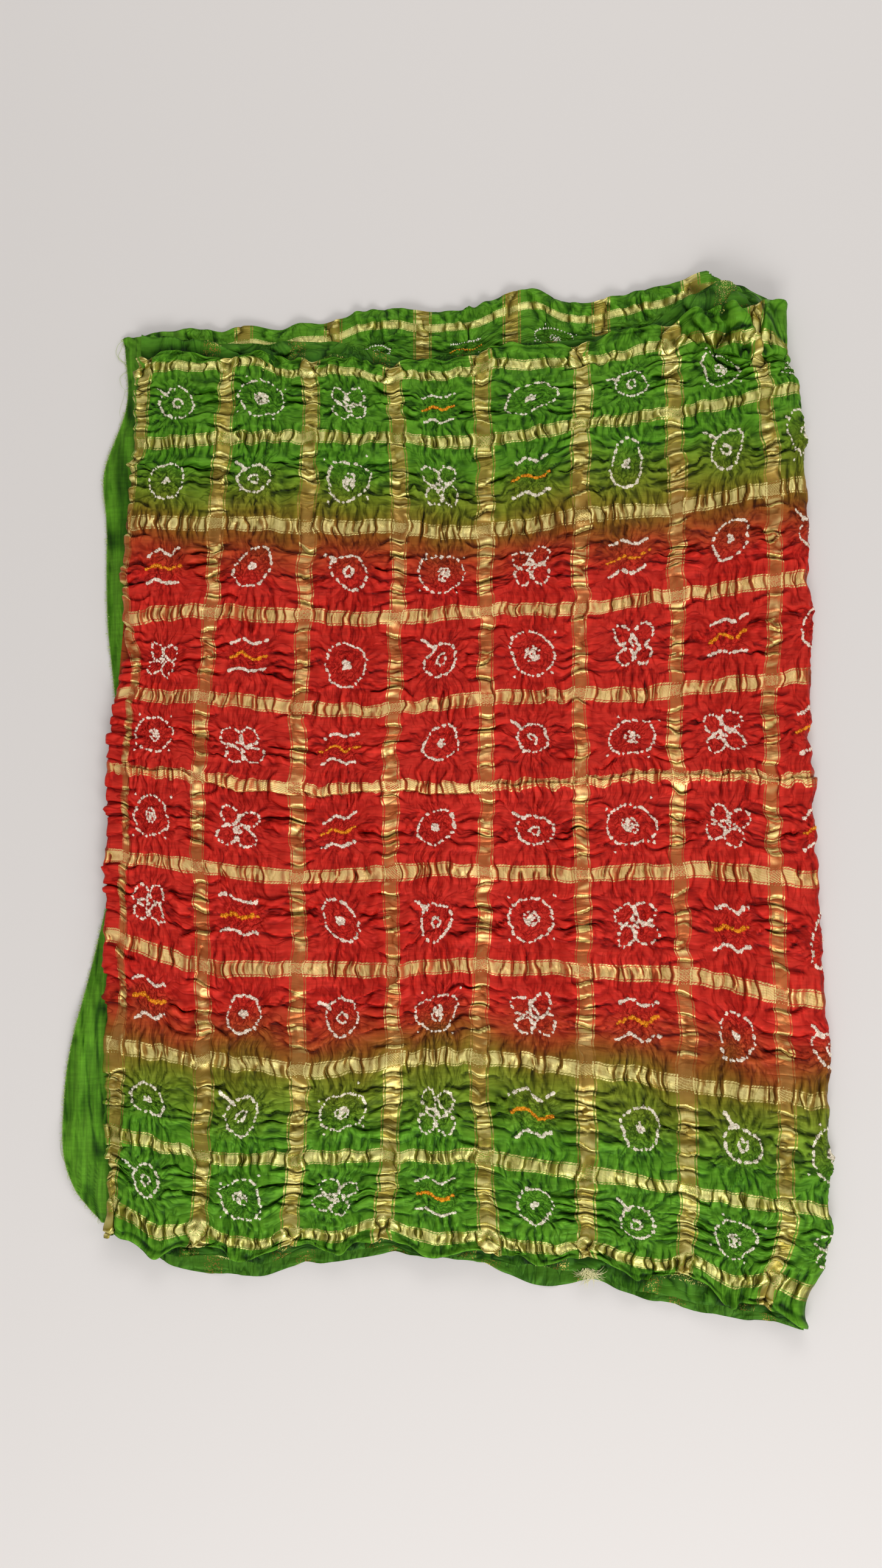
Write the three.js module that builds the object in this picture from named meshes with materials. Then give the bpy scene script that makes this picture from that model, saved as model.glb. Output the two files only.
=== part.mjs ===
// A bandhani dupatta of thin silk, folded in four along its length and lying on its back.
// Millimetres, +Z up. The origin is under the middle of the folded cloth, at the surface it lies on.
// X runs across the folded layers, from the frayed ends on the left to the outer fold on the right,
// and Y runs from one hem to the other. The face is woven in checks: eight gold bands run from hem to hem
// (columns 0 to 7) and eleven along the cloth (rows 0 to 10), counted from the left and from the far hem.

import * as THREE from 'three';

// The sheet, and the room that one layer takes
const THICKNESS = 1.2;
const LAYER_STEP = 4.4;

// The layers, from the surface up: the height of the sheet's middle before it puckers, how high it
// puckers between the knots that draw it in, and its share of the bunch at the far right corner
const LAYERS = {
  bottom: { height: THICKNESS / 2, pucker: 0, bunch: 0 },
  third: { height: THICKNESS / 2 + LAYER_STEP, pucker: 1.2, bunch: 0.5 },
  second: { height: THICKNESS / 2 + 2 * LAYER_STEP, pucker: 2.2, bunch: 0.75 },
  top: { height: THICKNESS / 2 + 3.1 * LAYER_STEP, pucker: 4.6, bunch: 1 },
};

// The folds: the columns where the top layer turns over, and how far the inner fold stays inside the outer
const LEFT_FOLD_COLUMN = -0.09;
const RIGHT_FOLD_COLUMN = 7.37;
const OUTER_FOLD_RADIUS = (LAYERS.top.height - LAYERS.bottom.height) / 2;
const INNER_FOLD_INSET = 13;

// The middle of the measured outline, which is moved to the origin
const MIDDLE = { x: -3.2, y: -1.2 };

// Bands from hem to hem on the top layer: the column, then its x at rows 0, 2, 5, 8 and 10
const LINE_ROWS = [0, 2, 5, 8, 10];
const HEM_TO_HEM_LINES = [
  { column: -0.12, x: [-283, -288, -303, -299, -290] },
  { column: 0, x: [-276, -283, -289, -289, -287] },
  { column: 1, x: [-201, -209, -222, -213, -215] },
  { column: 2, x: [-126, -128, -135, -131, -138] },
  { column: 3, x: [-52, -45, -53, -50, -57] },
  { column: 4, x: [28, 32, 32, 26, 33] },
  { column: 5, x: [120, 117, 115, 117, 117] },
  { column: 6, x: [200, 203, 199, 204, 199] },
  { column: 7, x: [277, 292, 282, 290, 272] },
  { column: 7.45, x: [305, 320, 322, 328, 313] },
];

// Hems of the top layer, and its bands along the cloth: the row, then its y at columns 0 to 7
const LINES_ALONG = [
  { row: -0.35, y: [402, 398, 391, 387, 391, 401, 418, 430] },
  { row: 0, y: [372, 378, 372, 366, 374, 381, 397, 395] },
  { row: 1, y: [308, 312, 314, 312, 311, 326, 337, 354] },
  { row: 2, y: [236, 234, 232, 231, 226, 242, 249, 266] },
  { row: 3, y: [149, 155, 149, 149, 154, 158, 170, 180] },
  { row: 4, y: [78, 75, 68, 66, 77, 78, 82, 93] },
  { row: 5, y: [12, 5, -6, -3, -2, 1, 6, 3] },
  { row: 6, y: [-64, -73, -82, -78, -77, -80, -76, -82] },
  { row: 7, y: [-135, -159, -162, -163, -157, -164, -167, -183] },
  { row: 8, y: [-228, -240, -249, -240, -237, -249, -260, -270] },
  { row: 9, y: [-301, -321, -323, -321, -323, -336, -350, -363] },
  { row: 10, y: [-360, -380, -384, -377, -386, -395, -405, -421] },
  { row: 10.25, y: [-386, -393, -393, -392, -397, -406, -417, -444] },
];
const FIRST_ROW = LINES_ALONG[0].row;
const LAST_ROW = LINES_ALONG.at(-1).row;
const CROSSING_COLUMNS = [0, 1, 2, 3, 4, 5, 6, 7];

// Hems of the hidden layers, y at each x: they stand out a little past those of the top layer
const HIDDEN_HEMS = [
  { x: -300, far: { second: 408, third: 413, bottom: 411 }, near: { second: -385, third: -384, bottom: -381 } },
  { x: -200, far: { second: 410, third: 419, bottom: 413 }, near: { second: -408, third: -422, bottom: -415 } },
  { x: -120, far: { second: 405, third: 424, bottom: 415 }, near: { second: -400, third: -413, bottom: -408 } },
  { x: -50, far: { second: 400, third: 438, bottom: 425 }, near: { second: -398, third: -403, bottom: -400 } },
  { x: 10, far: { second: 398, third: 437, bottom: 428 }, near: { second: -405, third: -411, bottom: -408 } },
  { x: 80, far: { second: 408, third: 456, bottom: 442 }, near: { second: -412, third: -427, bottom: -421 } },
  { x: 130, far: { second: 414, third: 446, bottom: 440 }, near: { second: -418, third: -429, bottom: -425 } },
  { x: 190, far: { second: 424, third: 454, bottom: 444 }, near: { second: -436, third: -445, bottom: -440 } },
  { x: 250, far: { second: 452, third: 468, bottom: 455 }, near: { second: -446, third: -458, bottom: -452 } },
  { x: 310, far: { second: 440, third: 446, bottom: 440 }, near: { second: -462, third: -468, bottom: -466 } },
];

// The two frayed ends at the left, x at each y, from the near hem to the far one
const FREE_ENDS = [
  { y: -381, third: -295, bottom: -298 },
  { y: -351, third: -314, bottom: -321 },
  { y: -315, third: -326, bottom: -334 },
  { y: -250, third: -325, bottom: -334 },
  { y: -180, third: -312, bottom: -320 },
  { y: -114, third: -298, bottom: -305 },
  { y: -60, third: -291, bottom: -294 },
  { y: 0, third: -290, bottom: -292 },
  { y: 75, third: -293, bottom: -296 },
  { y: 150, third: -303, bottom: -309 },
  { y: 240, third: -305, bottom: -312 },
  { y: 285, third: -308, bottom: -315 },
  { y: 350, third: -292, bottom: -296 },
  { y: 415, third: -299, bottom: -300 },
];

// The frayed ends lift off the surface in ripples, from the x where they leave the top layer's cover
const END_RIPPLE = { from: -300, full: -326, lift: 3, length: 120 };

// The bunch of rumpled cloth at the far right corner, with folds that run slanting through it
const BUNCH = { x: 250, y: 428, width: 46, depth: 40, height: 21, fold: 34, slant: 0.5, unevenness: 0.3 };

// The hems hang in shallow scallops between the hem-to-hem bands, half as deep on the hidden layers
const NEAR_SCALLOP = 8;
const FAR_SCALLOP = 3;
const HIDDEN_SCALLOP = 0.5;

// How the height of a pucker is shared: its unevenness, the knots' own lift, and the tuck along row 5
const UNEVENNESS = 0.22;
const KNOT_LIFT = 0.3;
const TUCK = { row: 5, width: 0.15, height: 0.3 };

// Steps of the mesh
const STEPS_ALONG_TOP = 31;
const STEPS_ALONG_HIDDEN = 11;
const STEPS_ROUND_OUTER_FOLD = 4;
const STEPS_ROUND_SMALL_FOLD = 3;
const STEPS_PER_ROW = 3;

const { clamp, lerp } = THREE.MathUtils;
const ease = (from, to, at) => THREE.MathUtils.smoothstep((at - from) / (to - from), 0, 1);

// A smooth curve through the values at the knots, straight beyond the first and last knot
function through(knots, values, at) {
  const last = knots.length - 1;
  const slope = (i) => {
    const low = Math.max(i - 1, 0);
    const high = Math.min(i + 1, last);
    return (values[high] - values[low]) / (knots[high] - knots[low]);
  };
  if (at <= knots[0]) return values[0] + slope(0) * (at - knots[0]);
  if (at >= knots[last]) return values[last] + slope(last) * (at - knots[last]);
  const i = knots.findLastIndex((knot) => knot <= at);
  const span = knots[i + 1] - knots[i];
  const u = (at - knots[i]) / span;
  const rise = values[i] * (2 * u ** 3 - 3 * u ** 2 + 1) + values[i + 1] * (3 * u ** 2 - 2 * u ** 3);
  return rise + span * (slope(i) * (u ** 3 - 2 * u ** 2 + u) + slope(i + 1) * (u ** 3 - u ** 2));
}

// Place on the lying face of the point at a column and row of its checks
function onFace(column, row) {
  const columns = HEM_TO_HEM_LINES.map((line) => line.column);
  const x = through(columns, HEM_TO_HEM_LINES.map((line) => through(LINE_ROWS, line.x, row)), column);
  const rows = LINES_ALONG.map((line) => line.row);
  const crossings = LINES_ALONG.map((line) => through(CROSSING_COLUMNS, line.y, column));
  const scallop = Math.abs(Math.sin(Math.PI * column));
  const farHem = FAR_SCALLOP * scallop * ease(0, FIRST_ROW, row);
  const nearHem = NEAR_SCALLOP * scallop * ease(10, LAST_ROW, row);
  return { x, y: through(rows, crossings, row) + farHem - nearHem };
}

// Column and row, roughly, of a place on a hidden layer
const columnAt = (x) => through([-284, 30, 322], [0, 4, 7.45], x);
const rowAt = (y) => through([-400, 0, 400], [LAST_ROW, 5, FIRST_ROW], y);

// Height of the puckers as a share, from 0 in the creases that join the knots to about 1 at the
// crossings of the woven bands, with each mound a little higher or lower than the next
function pucker(column, row) {
  const mound = (Math.cos(Math.PI * column) * Math.cos(Math.PI * row)) ** 2;
  const uneven = UNEVENNESS * Math.sin(2.7 * column + 1.9 * row) * Math.cos(1.3 * column - 3.1 * row);
  const knots = KNOT_LIFT * (Math.sin(Math.PI * column) * Math.sin(Math.PI * row)) ** 2;
  const tuck = TUCK.height * Math.exp(-(((row - TUCK.row) / TUCK.width) ** 2));
  return mound * (1 - UNEVENNESS + uneven) + knots + tuck;
}

// Height of the bunch: a mound with ridges a fold apart
function bunch(x, y) {
  const across = x - BUNCH.x;
  const along = y - BUNCH.y;
  const ridge = Math.cos(2 * Math.PI * (across + BUNCH.slant * along) / BUNCH.fold);
  const mound = Math.exp(-((across / BUNCH.width) ** 2) - (along / BUNCH.depth) ** 2);
  return BUNCH.height * mound * (1 + BUNCH.unevenness * ridge);
}

// Height by which the frayed ends lift off the surface
function endLift(x, y) {
  const ripple = 0.5 + 0.5 * Math.sin(2 * Math.PI * y / END_RIPPLE.length);
  return END_RIPPLE.lift * ease(END_RIPPLE.from, END_RIPPLE.full, x) * ripple;
}

// The middle of the top layer at a column and row, its puckers lower where it nears the left fold
function onTop(column, row) {
  const { x, y } = onFace(column, row);
  const level = lerp(0.35, 1, ease(LEFT_FOLD_COLUMN, 0.15, column));
  const puckers = LAYERS.top.pucker * level * pucker(column, row);
  return new THREE.Vector3(x, y, LAYERS.top.height + puckers + LAYERS.top.bunch * bunch(x, y));
}

// The left and right edges of the hidden layers
const outerFold = (row) => onFace(RIGHT_FOLD_COLUMN, row).x;
const innerFold = (row) => outerFold(row) + OUTER_FOLD_RADIUS - INNER_FOLD_INSET;
const leftFold = (row) => onFace(LEFT_FOLD_COLUMN, row).x;
function freeEnd(name, y) {
  const stations = FREE_ENDS.map((end) => end.y);
  return through(stations, FREE_ENDS.map((end) => end[name]), clamp(y, stations[0], stations.at(-1)));
}

// The middle of a hidden layer at a share of the way from its left edge to its right one
function onHidden(name, share, row) {
  const layer = LAYERS[name];
  const stations = HIDDEN_HEMS.map((hem) => hem.x);
  const station = lerp(stations[0], stations.at(-1), share);
  const scallop = HIDDEN_SCALLOP * Math.abs(Math.sin(Math.PI * columnAt(station)));
  const far = through(stations, HIDDEN_HEMS.map((hem) => hem.far[name]), station) + FAR_SCALLOP * scallop;
  const near = through(stations, HIDDEN_HEMS.map((hem) => hem.near[name]), station) - NEAR_SCALLOP * scallop;
  const y = lerp(far, near, (row - FIRST_ROW) / (LAST_ROW - FIRST_ROW));
  const left = name === 'second' ? leftFold(row) : freeEnd(name, y);
  const right = name === 'bottom' ? outerFold(row) : innerFold(row);
  const x = lerp(left, right, share);
  const puckers = layer.pucker * pucker(columnAt(x), rowAt(y)) * ease(-0.1, 0.4, columnAt(x));
  return new THREE.Vector3(x, y, layer.height + puckers + layer.bunch * bunch(x, y) + endLift(x, y));
}

// The points between two layers, on a half circle that bulges to the right (side 1) or left (-1)
function roundFold(from, to, side, steps) {
  const points = [];
  for (let step = 1; step < steps; step += 1) {
    const angle = Math.PI * step / steps;
    const point = from.clone().lerp(to, (1 - Math.cos(angle)) / 2);
    point.x += side * Math.sin(angle) * Math.abs(to.z - from.z) / 2;
    points.push(point);
  }
  return points;
}

// The rows where the mesh is divided: both hems, and even steps in each check
function meshRows() {
  const rows = [FIRST_ROW];
  for (let step = 0; step <= 10 * STEPS_PER_ROW; step += 1) rows.push(step / STEPS_PER_ROW);
  rows.push(LAST_ROW);
  return rows;
}

// The middle of the sheet along one row, from the bottom layer's frayed end to the third layer's
function crossSection(row) {
  const shares = (steps) => Array.from({ length: steps + 1 }, (_, step) => step / steps);
  const bottom = shares(STEPS_ALONG_HIDDEN).map((share) => onHidden('bottom', share, row));
  const top = shares(STEPS_ALONG_TOP).map((share) => onTop(lerp(RIGHT_FOLD_COLUMN, LEFT_FOLD_COLUMN, share), row));
  const second = shares(STEPS_ALONG_HIDDEN).map((share) => onHidden('second', share, row));
  const third = shares(STEPS_ALONG_HIDDEN).map((share) => onHidden('third', 1 - share, row));
  return [
    ...bottom,
    ...roundFold(bottom.at(-1), top[0], 1, STEPS_ROUND_OUTER_FOLD),
    ...top,
    ...roundFold(top.at(-1), second[0], -1, STEPS_ROUND_SMALL_FOLD),
    ...second,
    ...roundFold(second.at(-1), third[0], 1, STEPS_ROUND_SMALL_FOLD),
    ...third,
  ];
}

// The direction square to the sheet at each point of its middle, by the lines to its neighbours
function squareTo(sections) {
  const rows = sections.length - 1;
  const columns = sections[0].length - 1;
  return sections.map((section, row) => section.map((point, column) => {
    const along = section[Math.min(column + 1, columns)].clone().sub(section[Math.max(column - 1, 0)]);
    const before = sections[Math.max(row - 1, 0)][column];
    const across = sections[Math.min(row + 1, rows)][column].clone().sub(before);
    return along.cross(across).normalize();
  }));
}

// The closed solid of a sheet: its middle moved half the thickness each way, and a rim round the edge
function sheetSolid(sections) {
  const rows = sections.length;
  const columns = sections[0].length;
  const normals = squareTo(sections);
  const positions = [];
  for (const side of [-1, 1]) {
    sections.forEach((section, row) => section.forEach((point, column) => {
      const moved = point.clone().addScaledVector(normals[row][column], side * THICKNESS / 2);
      positions.push(moved.x - MIDDLE.x, moved.y - MIDDLE.y, Math.max(moved.z, 0));
    }));
  }
  const at = (side, row, column) => (side * rows + row) * columns + column;
  const triangles = [];
  const quad = (a, b, c, d) => triangles.push(a, b, c, a, c, d);
  for (let row = 0; row < rows - 1; row += 1) {
    for (let column = 0; column < columns - 1; column += 1) {
      const corners = [[row, column], [row + 1, column], [row + 1, column + 1], [row, column + 1]];
      quad(...corners.map((corner) => at(0, ...corner)));
      quad(...[0, 3, 2, 1].map((corner) => at(1, ...corners[corner])));
    }
  }
  for (let column = 0; column < columns - 1; column += 1) {
    const last = rows - 1;
    quad(at(0, 0, column), at(0, 0, column + 1), at(1, 0, column + 1), at(1, 0, column));
    quad(at(0, last, column + 1), at(0, last, column), at(1, last, column), at(1, last, column + 1));
  }
  for (let row = 0; row < rows - 1; row += 1) {
    const last = columns - 1;
    quad(at(0, row + 1, 0), at(0, row, 0), at(1, row, 0), at(1, row + 1, 0));
    quad(at(0, row, last), at(0, row + 1, last), at(1, row + 1, last), at(1, row, last));
  }
  const geometry = new THREE.BufferGeometry();
  geometry.setAttribute('position', new THREE.Float32BufferAttribute(positions, 3));
  geometry.setIndex(triangles);
  geometry.computeVertexNormals();
  return geometry;
}

const silk = new THREE.MeshStandardMaterial({ color: 0xb02a22, roughness: 0.45, metalness: 0 });

const cloth = new THREE.Mesh(sheetSolid(meshRows().map(crossSection)), silk);
cloth.name = 'cloth';

const dupatta = new THREE.Group();
dupatta.add(cloth);

export default dupatta;
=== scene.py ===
"""A bandhani dupatta of thin satin silk, folded in four and lying on its back.

The meshes are in metres and the sizes below in millimetres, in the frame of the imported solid: the origin is
under the middle of the cloth, +X runs from the frayed ends to the outer fold, +Y from the near hem to the
far one, and +Z up. A place on the weave is a column and a row of its gold checks. Eight bands run from hem
to hem (columns 0 to 7) and eleven along the cloth (rows 0 to 10), counted from the left and the far hem.
"""

import math
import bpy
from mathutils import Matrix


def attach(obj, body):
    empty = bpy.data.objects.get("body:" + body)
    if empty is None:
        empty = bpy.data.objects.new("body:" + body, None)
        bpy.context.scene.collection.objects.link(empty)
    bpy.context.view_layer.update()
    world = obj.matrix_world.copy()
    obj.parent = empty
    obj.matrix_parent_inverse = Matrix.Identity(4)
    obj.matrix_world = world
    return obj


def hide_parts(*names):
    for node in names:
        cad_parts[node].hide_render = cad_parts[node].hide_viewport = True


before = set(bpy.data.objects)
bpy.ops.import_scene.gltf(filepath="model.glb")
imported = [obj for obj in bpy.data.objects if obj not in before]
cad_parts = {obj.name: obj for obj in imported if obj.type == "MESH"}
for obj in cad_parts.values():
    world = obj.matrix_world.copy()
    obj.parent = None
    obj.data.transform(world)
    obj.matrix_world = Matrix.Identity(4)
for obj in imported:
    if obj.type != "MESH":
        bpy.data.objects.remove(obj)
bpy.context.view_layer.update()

from types import SimpleNamespace

import bpy
import numpy as np

# Lie of the cloth
# The cloth is one length of silk, folded in four. The knots that were tied for the dye have drawn it in, so
# its woven checks lie unevenly. These tables and curves say where each column and row of the weave lies.
MM = 0.001
MIDDLE_X, MIDDLE_Y = -3.2, -1.2
CHECK_WIDTH = 82.0
CHECK_LENGTH = 77.0

LINE_ROWS = (0, 2, 5, 8, 10)
HEM_TO_HEM_LINES = {
    -0.12: (-283, -288, -303, -299, -290),
    0: (-276, -283, -289, -289, -287),
    1: (-201, -209, -222, -213, -215),
    2: (-126, -128, -135, -131, -138),
    3: (-52, -45, -53, -50, -57),
    4: (28, 32, 32, 26, 33),
    5: (120, 117, 115, 117, 117),
    6: (200, 203, 199, 204, 199),
    7: (277, 292, 282, 290, 272),
    7.45: (305, 320, 322, 328, 313),
}
LINES_ALONG = {
    -0.35: (386, 386, 381, 378, 388, 400, 416, 428),
    0: (372, 378, 372, 366, 374, 381, 397, 395),
    1: (308, 312, 314, 312, 311, 326, 337, 354),
    2: (236, 234, 232, 231, 226, 242, 249, 266),
    3: (149, 155, 149, 149, 154, 158, 170, 180),
    4: (78, 75, 68, 66, 77, 78, 82, 93),
    5: (12, 5, -6, -3, -2, 1, 6, 3),
    6: (-64, -73, -82, -78, -77, -80, -76, -82),
    7: (-135, -159, -162, -163, -157, -164, -167, -183),
    8: (-228, -240, -249, -240, -237, -249, -260, -270),
    9: (-301, -321, -323, -321, -323, -336, -350, -363),
    10: (-360, -380, -384, -377, -386, -395, -405, -421),
    10.25: (-386, -393, -393, -392, -397, -406, -417, -444),
}
FIRST_ROW, LAST_ROW = -0.35, 10.25
LEFT_FOLD, RIGHT_FOLD = -0.09, 7.37
NEAR_SCALLOP, FAR_SCALLOP = 8.0, 9.0


def ease(start, end, at):
    """Rises smoothly from 0 at start to 1 at end: 3u^2 - 2u^3, u being the share of the way, in 0 to 1."""
    u = np.clip((np.asarray(at, float) - start) / (end - start), 0, 1)
    return u * u * (3 - 2 * u)


def curve_through(knots, at):
    """Weights of the values at the knots, one row for each place in at. Between two knots the curve is the
    cubic whose slope at a knot is that of the line between its neighbours; beyond the ends it is straight."""
    knots, at = np.asarray(knots, float), np.asarray(at, float)
    last = len(knots) - 1
    value = np.eye(last + 1)
    before = np.maximum(np.arange(last + 1) - 1, 0)
    after = np.minimum(np.arange(last + 1) + 1, last)
    slope = (value[after] - value[before]) / (knots[after] - knots[before])[:, None]
    i = np.clip(np.searchsorted(knots, at, side="right") - 1, 0, last - 1)
    span = (knots[i + 1] - knots[i])[:, None]
    u = np.clip((at - knots[i])[:, None] / span, 0, 1)
    curve = value[i] * (2 * u**3 - 3 * u**2 + 1) + value[i + 1] * (3 * u**2 - 2 * u**3)
    curve += span * (slope[i] * (u**3 - 2 * u**2 + u) + slope[i + 1] * (u**3 - u**2))
    below = np.minimum(at - knots[0], 0)[:, None]
    above = np.maximum(at - knots[last], 0)[:, None]
    return curve + slope[0] * below + slope[last] * above


def lie_of_face(columns, rows):
    """Places x and y of the weave at each row (down the arrays) and column (across them): the curves through
    the tables, with the hems hanging in scallops |sin(pi column)| between the bands."""
    x_table = np.array(list(HEM_TO_HEM_LINES.values()), float)
    y_table = np.array(list(LINES_ALONG.values()), float)
    x = curve_through(LINE_ROWS, rows) @ x_table.T @ curve_through(list(HEM_TO_HEM_LINES), columns).T
    y = curve_through(list(LINES_ALONG), rows) @ y_table @ curve_through(range(8), columns).T
    scallop = np.abs(np.sin(np.pi * np.asarray(columns)))[None, :]
    far = FAR_SCALLOP * scallop * (1 - ease(FIRST_ROW, 0, rows))[:, None]
    near = NEAR_SCALLOP * scallop * ease(10, LAST_ROW, rows)[:, None]
    return x - MIDDLE_X, y - MIDDLE_Y + far - near


def rumple(seed, cell, x, y):
    """Smooth random heights from -1 to 1 at places in millimetres: random values at the corners of cells of
    that size, blended across each cell with 6u^5 - 15u^4 + 10u^3."""
    size = 128
    lattice = np.random.default_rng(seed).uniform(-1, 1, (size, size))
    u, v = np.broadcast_arrays(np.asarray(x, float) / cell[0], np.asarray(y, float) / cell[1])
    i, j = np.floor(u).astype(int), np.floor(v).astype(int)
    u, v = u - i, v - j
    u = u**3 * (u * (6 * u - 15) + 10)
    v = v**3 * (v * (6 * v - 15) + 10)
    i, next_i, j, next_j = i % size, (i + 1) % size, j % size, (j + 1) % size
    near = lattice[j, i] * (1 - u) + lattice[j, next_i] * u
    far = lattice[next_j, i] * (1 - u) + lattice[next_j, next_i] * u
    return near * (1 - v) + far * v


# Top layer
# The layer that shows, face up. Between the knots the silk stands up in soft mounds, and sharp tucks run
# from knot to knot. It turns over a tight fold at the left, and over a round one at the right.
TOP_HEIGHT = 14.24
TOP_PUCKER = 4.6
SURFACE_HEIGHT = 0.6
SECOND_HEIGHT = 9.4
UNEVENNESS = 0.22
KNOT_LIFT = 0.3
TUCK_ROW, TUCK_WIDTH, TUCK_HEIGHT = 5, 0.15, 0.3
BUNCH_X, BUNCH_Y = 250 - MIDDLE_X, 428 - MIDDLE_Y
BUNCH_WIDTH, BUNCH_DEPTH, BUNCH_HEIGHT = 46.0, 40.0, 21.0
BUNCH_FOLD, BUNCH_SLANT, BUNCH_UNEVENNESS = 34.0, 0.5, 0.3
CORNER_X, CORNER_Y = 560, 12
CORNER_TUCKS = (
    ((512, -22), (560, 32), 1), ((546, -27), (577, 26), -1), ((588, -22), (560, 42), 1),
    ((603, -12), (588, 58), -1), ((528, 4), (600, 14), 1), ((500, -8), (530, 34), -1),
)
LOOP_STEP, LOOP_REACH, LOOP_HEIGHT = 23.0, 42.0, 6.5
HEM_WAVE, HEM_WAVE_HEIGHT, HEM_LIFT, HEM_ROLL = 24.0, 2.6, 1.2, 1.5
LEFT_ARC, RIGHT_ARC = 0.09, 0.26
EDGE_INSET, EDGE_BULGE, CORNER_CUT = 8.0, 8.0, 9.0
BAND_SAG = 7.0
TOP_COLUMNS = np.linspace(LEFT_FOLD - LEFT_ARC, RIGHT_FOLD + RIGHT_ARC, 472)
TOP_ROWS = np.linspace(FIRST_ROW, LAST_ROW, 604)


def flat_weave(columns, rows):
    """The places of a grid on the flat weave, in millimetres, with its heights and leans still at nought."""
    sheet = SimpleNamespace(x=CHECK_WIDTH * columns, y=CHECK_LENGTH * rows)
    sheet.column, sheet.row = columns[None, :], rows[:, None]
    sheet.x_grid, sheet.y_grid = sheet.x[None, :], sheet.y[:, None]
    sheet.height, sheet.lean_x, sheet.lean_y, sheet.line = np.zeros((4, len(rows), len(columns)))
    return sheet


def pucker(column, row):
    """Share of the puckers' height: (cos pi c cos pi r)^2, uneven from mound to mound, with the knots' lift
    (sin pi c sin pi r)^2 and the tuck along row 5 as a narrow bell curve."""
    mound = (np.cos(np.pi * column) * np.cos(np.pi * row)) ** 2
    uneven = UNEVENNESS * np.sin(2.7 * column + 1.9 * row) * np.cos(1.3 * column - 3.1 * row)
    knots = KNOT_LIFT * (np.sin(np.pi * column) * np.sin(np.pi * row)) ** 2
    long_tuck = TUCK_HEIGHT * np.exp(-(((row - TUCK_ROW) / TUCK_WIDTH) ** 2))
    return mound * (1 - UNEVENNESS + uneven) + knots + long_tuck


def bunch(x, y):
    """Height of the bunched corner: a bell-shaped mound with slanting ridges, a fold apart, through it."""
    across, along = x - BUNCH_X, y - BUNCH_Y
    ridge = np.cos(2 * np.pi * (across + BUNCH_SLANT * along) / BUNCH_FOLD)
    mound = np.exp(-((across / BUNCH_WIDTH) ** 2) - (along / BUNCH_DEPTH) ** 2)
    return BUNCH_HEIGHT * mound * (1 + BUNCH_UNEVENNESS * ridge)


# The motifs, one in each check: big ring, four small rings, waves, plain ring, ring with a tail. Each row of
# checks repeats them in this order, and each starts one further on than its neighbour nearer the middle.
MOTIFS = ("big", "four", "waves", "ring", "tail")
MOTIF_START = {5: 0, 6: 0, 4: 1, 7: 1, 3: 2, 8: 2, 2: 3, 9: 3, 1: 4, 10: 4}
MOTIF_SHIFT = (-0.1, -0.08, -0.04, 0, 0, 0.03, 0.03, 0)
RING_REACH = 19.0
HALO = 1.5
chance = np.random.default_rng(7)
motifs = []
for number in range(1, 11):
    for column in range(8):
        kind = MOTIFS[(column + MOTIF_START[number]) % 5]
        middle = np.array([(column + 0.5 + MOTIF_SHIFT[column]) * CHECK_WIDTH, (number - 0.5) * CHECK_LENGTH])
        motifs.append((kind, column, number, tuple(middle + chance.normal(0, 1.4, 2))))

top = flat_weave(TOP_COLUMNS, TOP_ROWS)
top.height += TOP_PUCKER * pucker(top.column, top.row) * (0.35 + 0.65 * ease(LEFT_FOLD, 0.15, top.column))


def tuck(sheet, start, end, bend=0.0, rise=1.8, dip=1.0, soft=6.0, side=1, edge=1.0, lean=0.6, turn=0.0):
    """Adds one tuck to a sheet, along a line on the flat weave that bends sideways by a share of its length.
    With q the distance towards its open side, the silk rises as rise exp(-(q/soft)^2) up to the line, drops
    over it as (rise + dip) exp(-(q/edge)^2) and comes back as -dip exp(-(q/0.7 soft)^2), and its crest leans
    to that side. The sheet's line marks the shade under it as exp(-((q - 0.9)/0.85)^2). All fade towards the
    ends as 1 - (2t - 1)^4, t being the share of the line."""
    run = np.subtract(end, start)
    length = math.hypot(*run)
    reach = 2.2 * soft + abs(bend) * length
    across = slice(*np.searchsorted(sheet.x, (min(start[0], end[0]) - reach, max(start[0], end[0]) + reach)))
    down = slice(*np.searchsorted(sheet.y, (min(start[1], end[1]) - reach, max(start[1], end[1]) + reach)))
    x = sheet.x[None, across] - start[0]
    y = sheet.y[down, None] - start[1]
    t = (x * run[0] + y * run[1]) / length**2
    bow = bend * length * 4 * t * (1 - t) + 0.9 * np.sin(2 * np.pi * (1.6 * t + turn))
    q = side * ((y * run[0] - x * run[1]) / length - bow)
    fade = np.clip(1 - (2 * t - 1) ** 4, 0, 1)
    behind = rise * np.exp(-((q / soft) ** 2))
    ahead = (rise + dip) * np.exp(-((q / edge) ** 2)) - dip * np.exp(-((q / (0.7 * soft)) ** 2))
    sheet.height[down, across] += fade * np.where(q < 0, behind, ahead)
    crest = side * lean * rise * fade * np.exp(-((q / (0.45 * soft)) ** 2)) / length
    sheet.lean_x[down, across] -= crest * run[1]
    sheet.lean_y[down, across] += crest * run[0]
    shade = min(1, 0.2 + rise / 2.4) * fade * np.exp(-(((q - 0.9) / 0.85) ** 2))
    sheet.line[down, across] = np.maximum(sheet.line[down, across], shade)


def draw(low, high):
    return chance.uniform(low, high)


def either_side():
    return chance.choice((-1, 1))


def drawn(value):
    """A draw between the two values of a pair, or the value itself."""
    return draw(*value) if isinstance(value, tuple) else value


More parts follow.
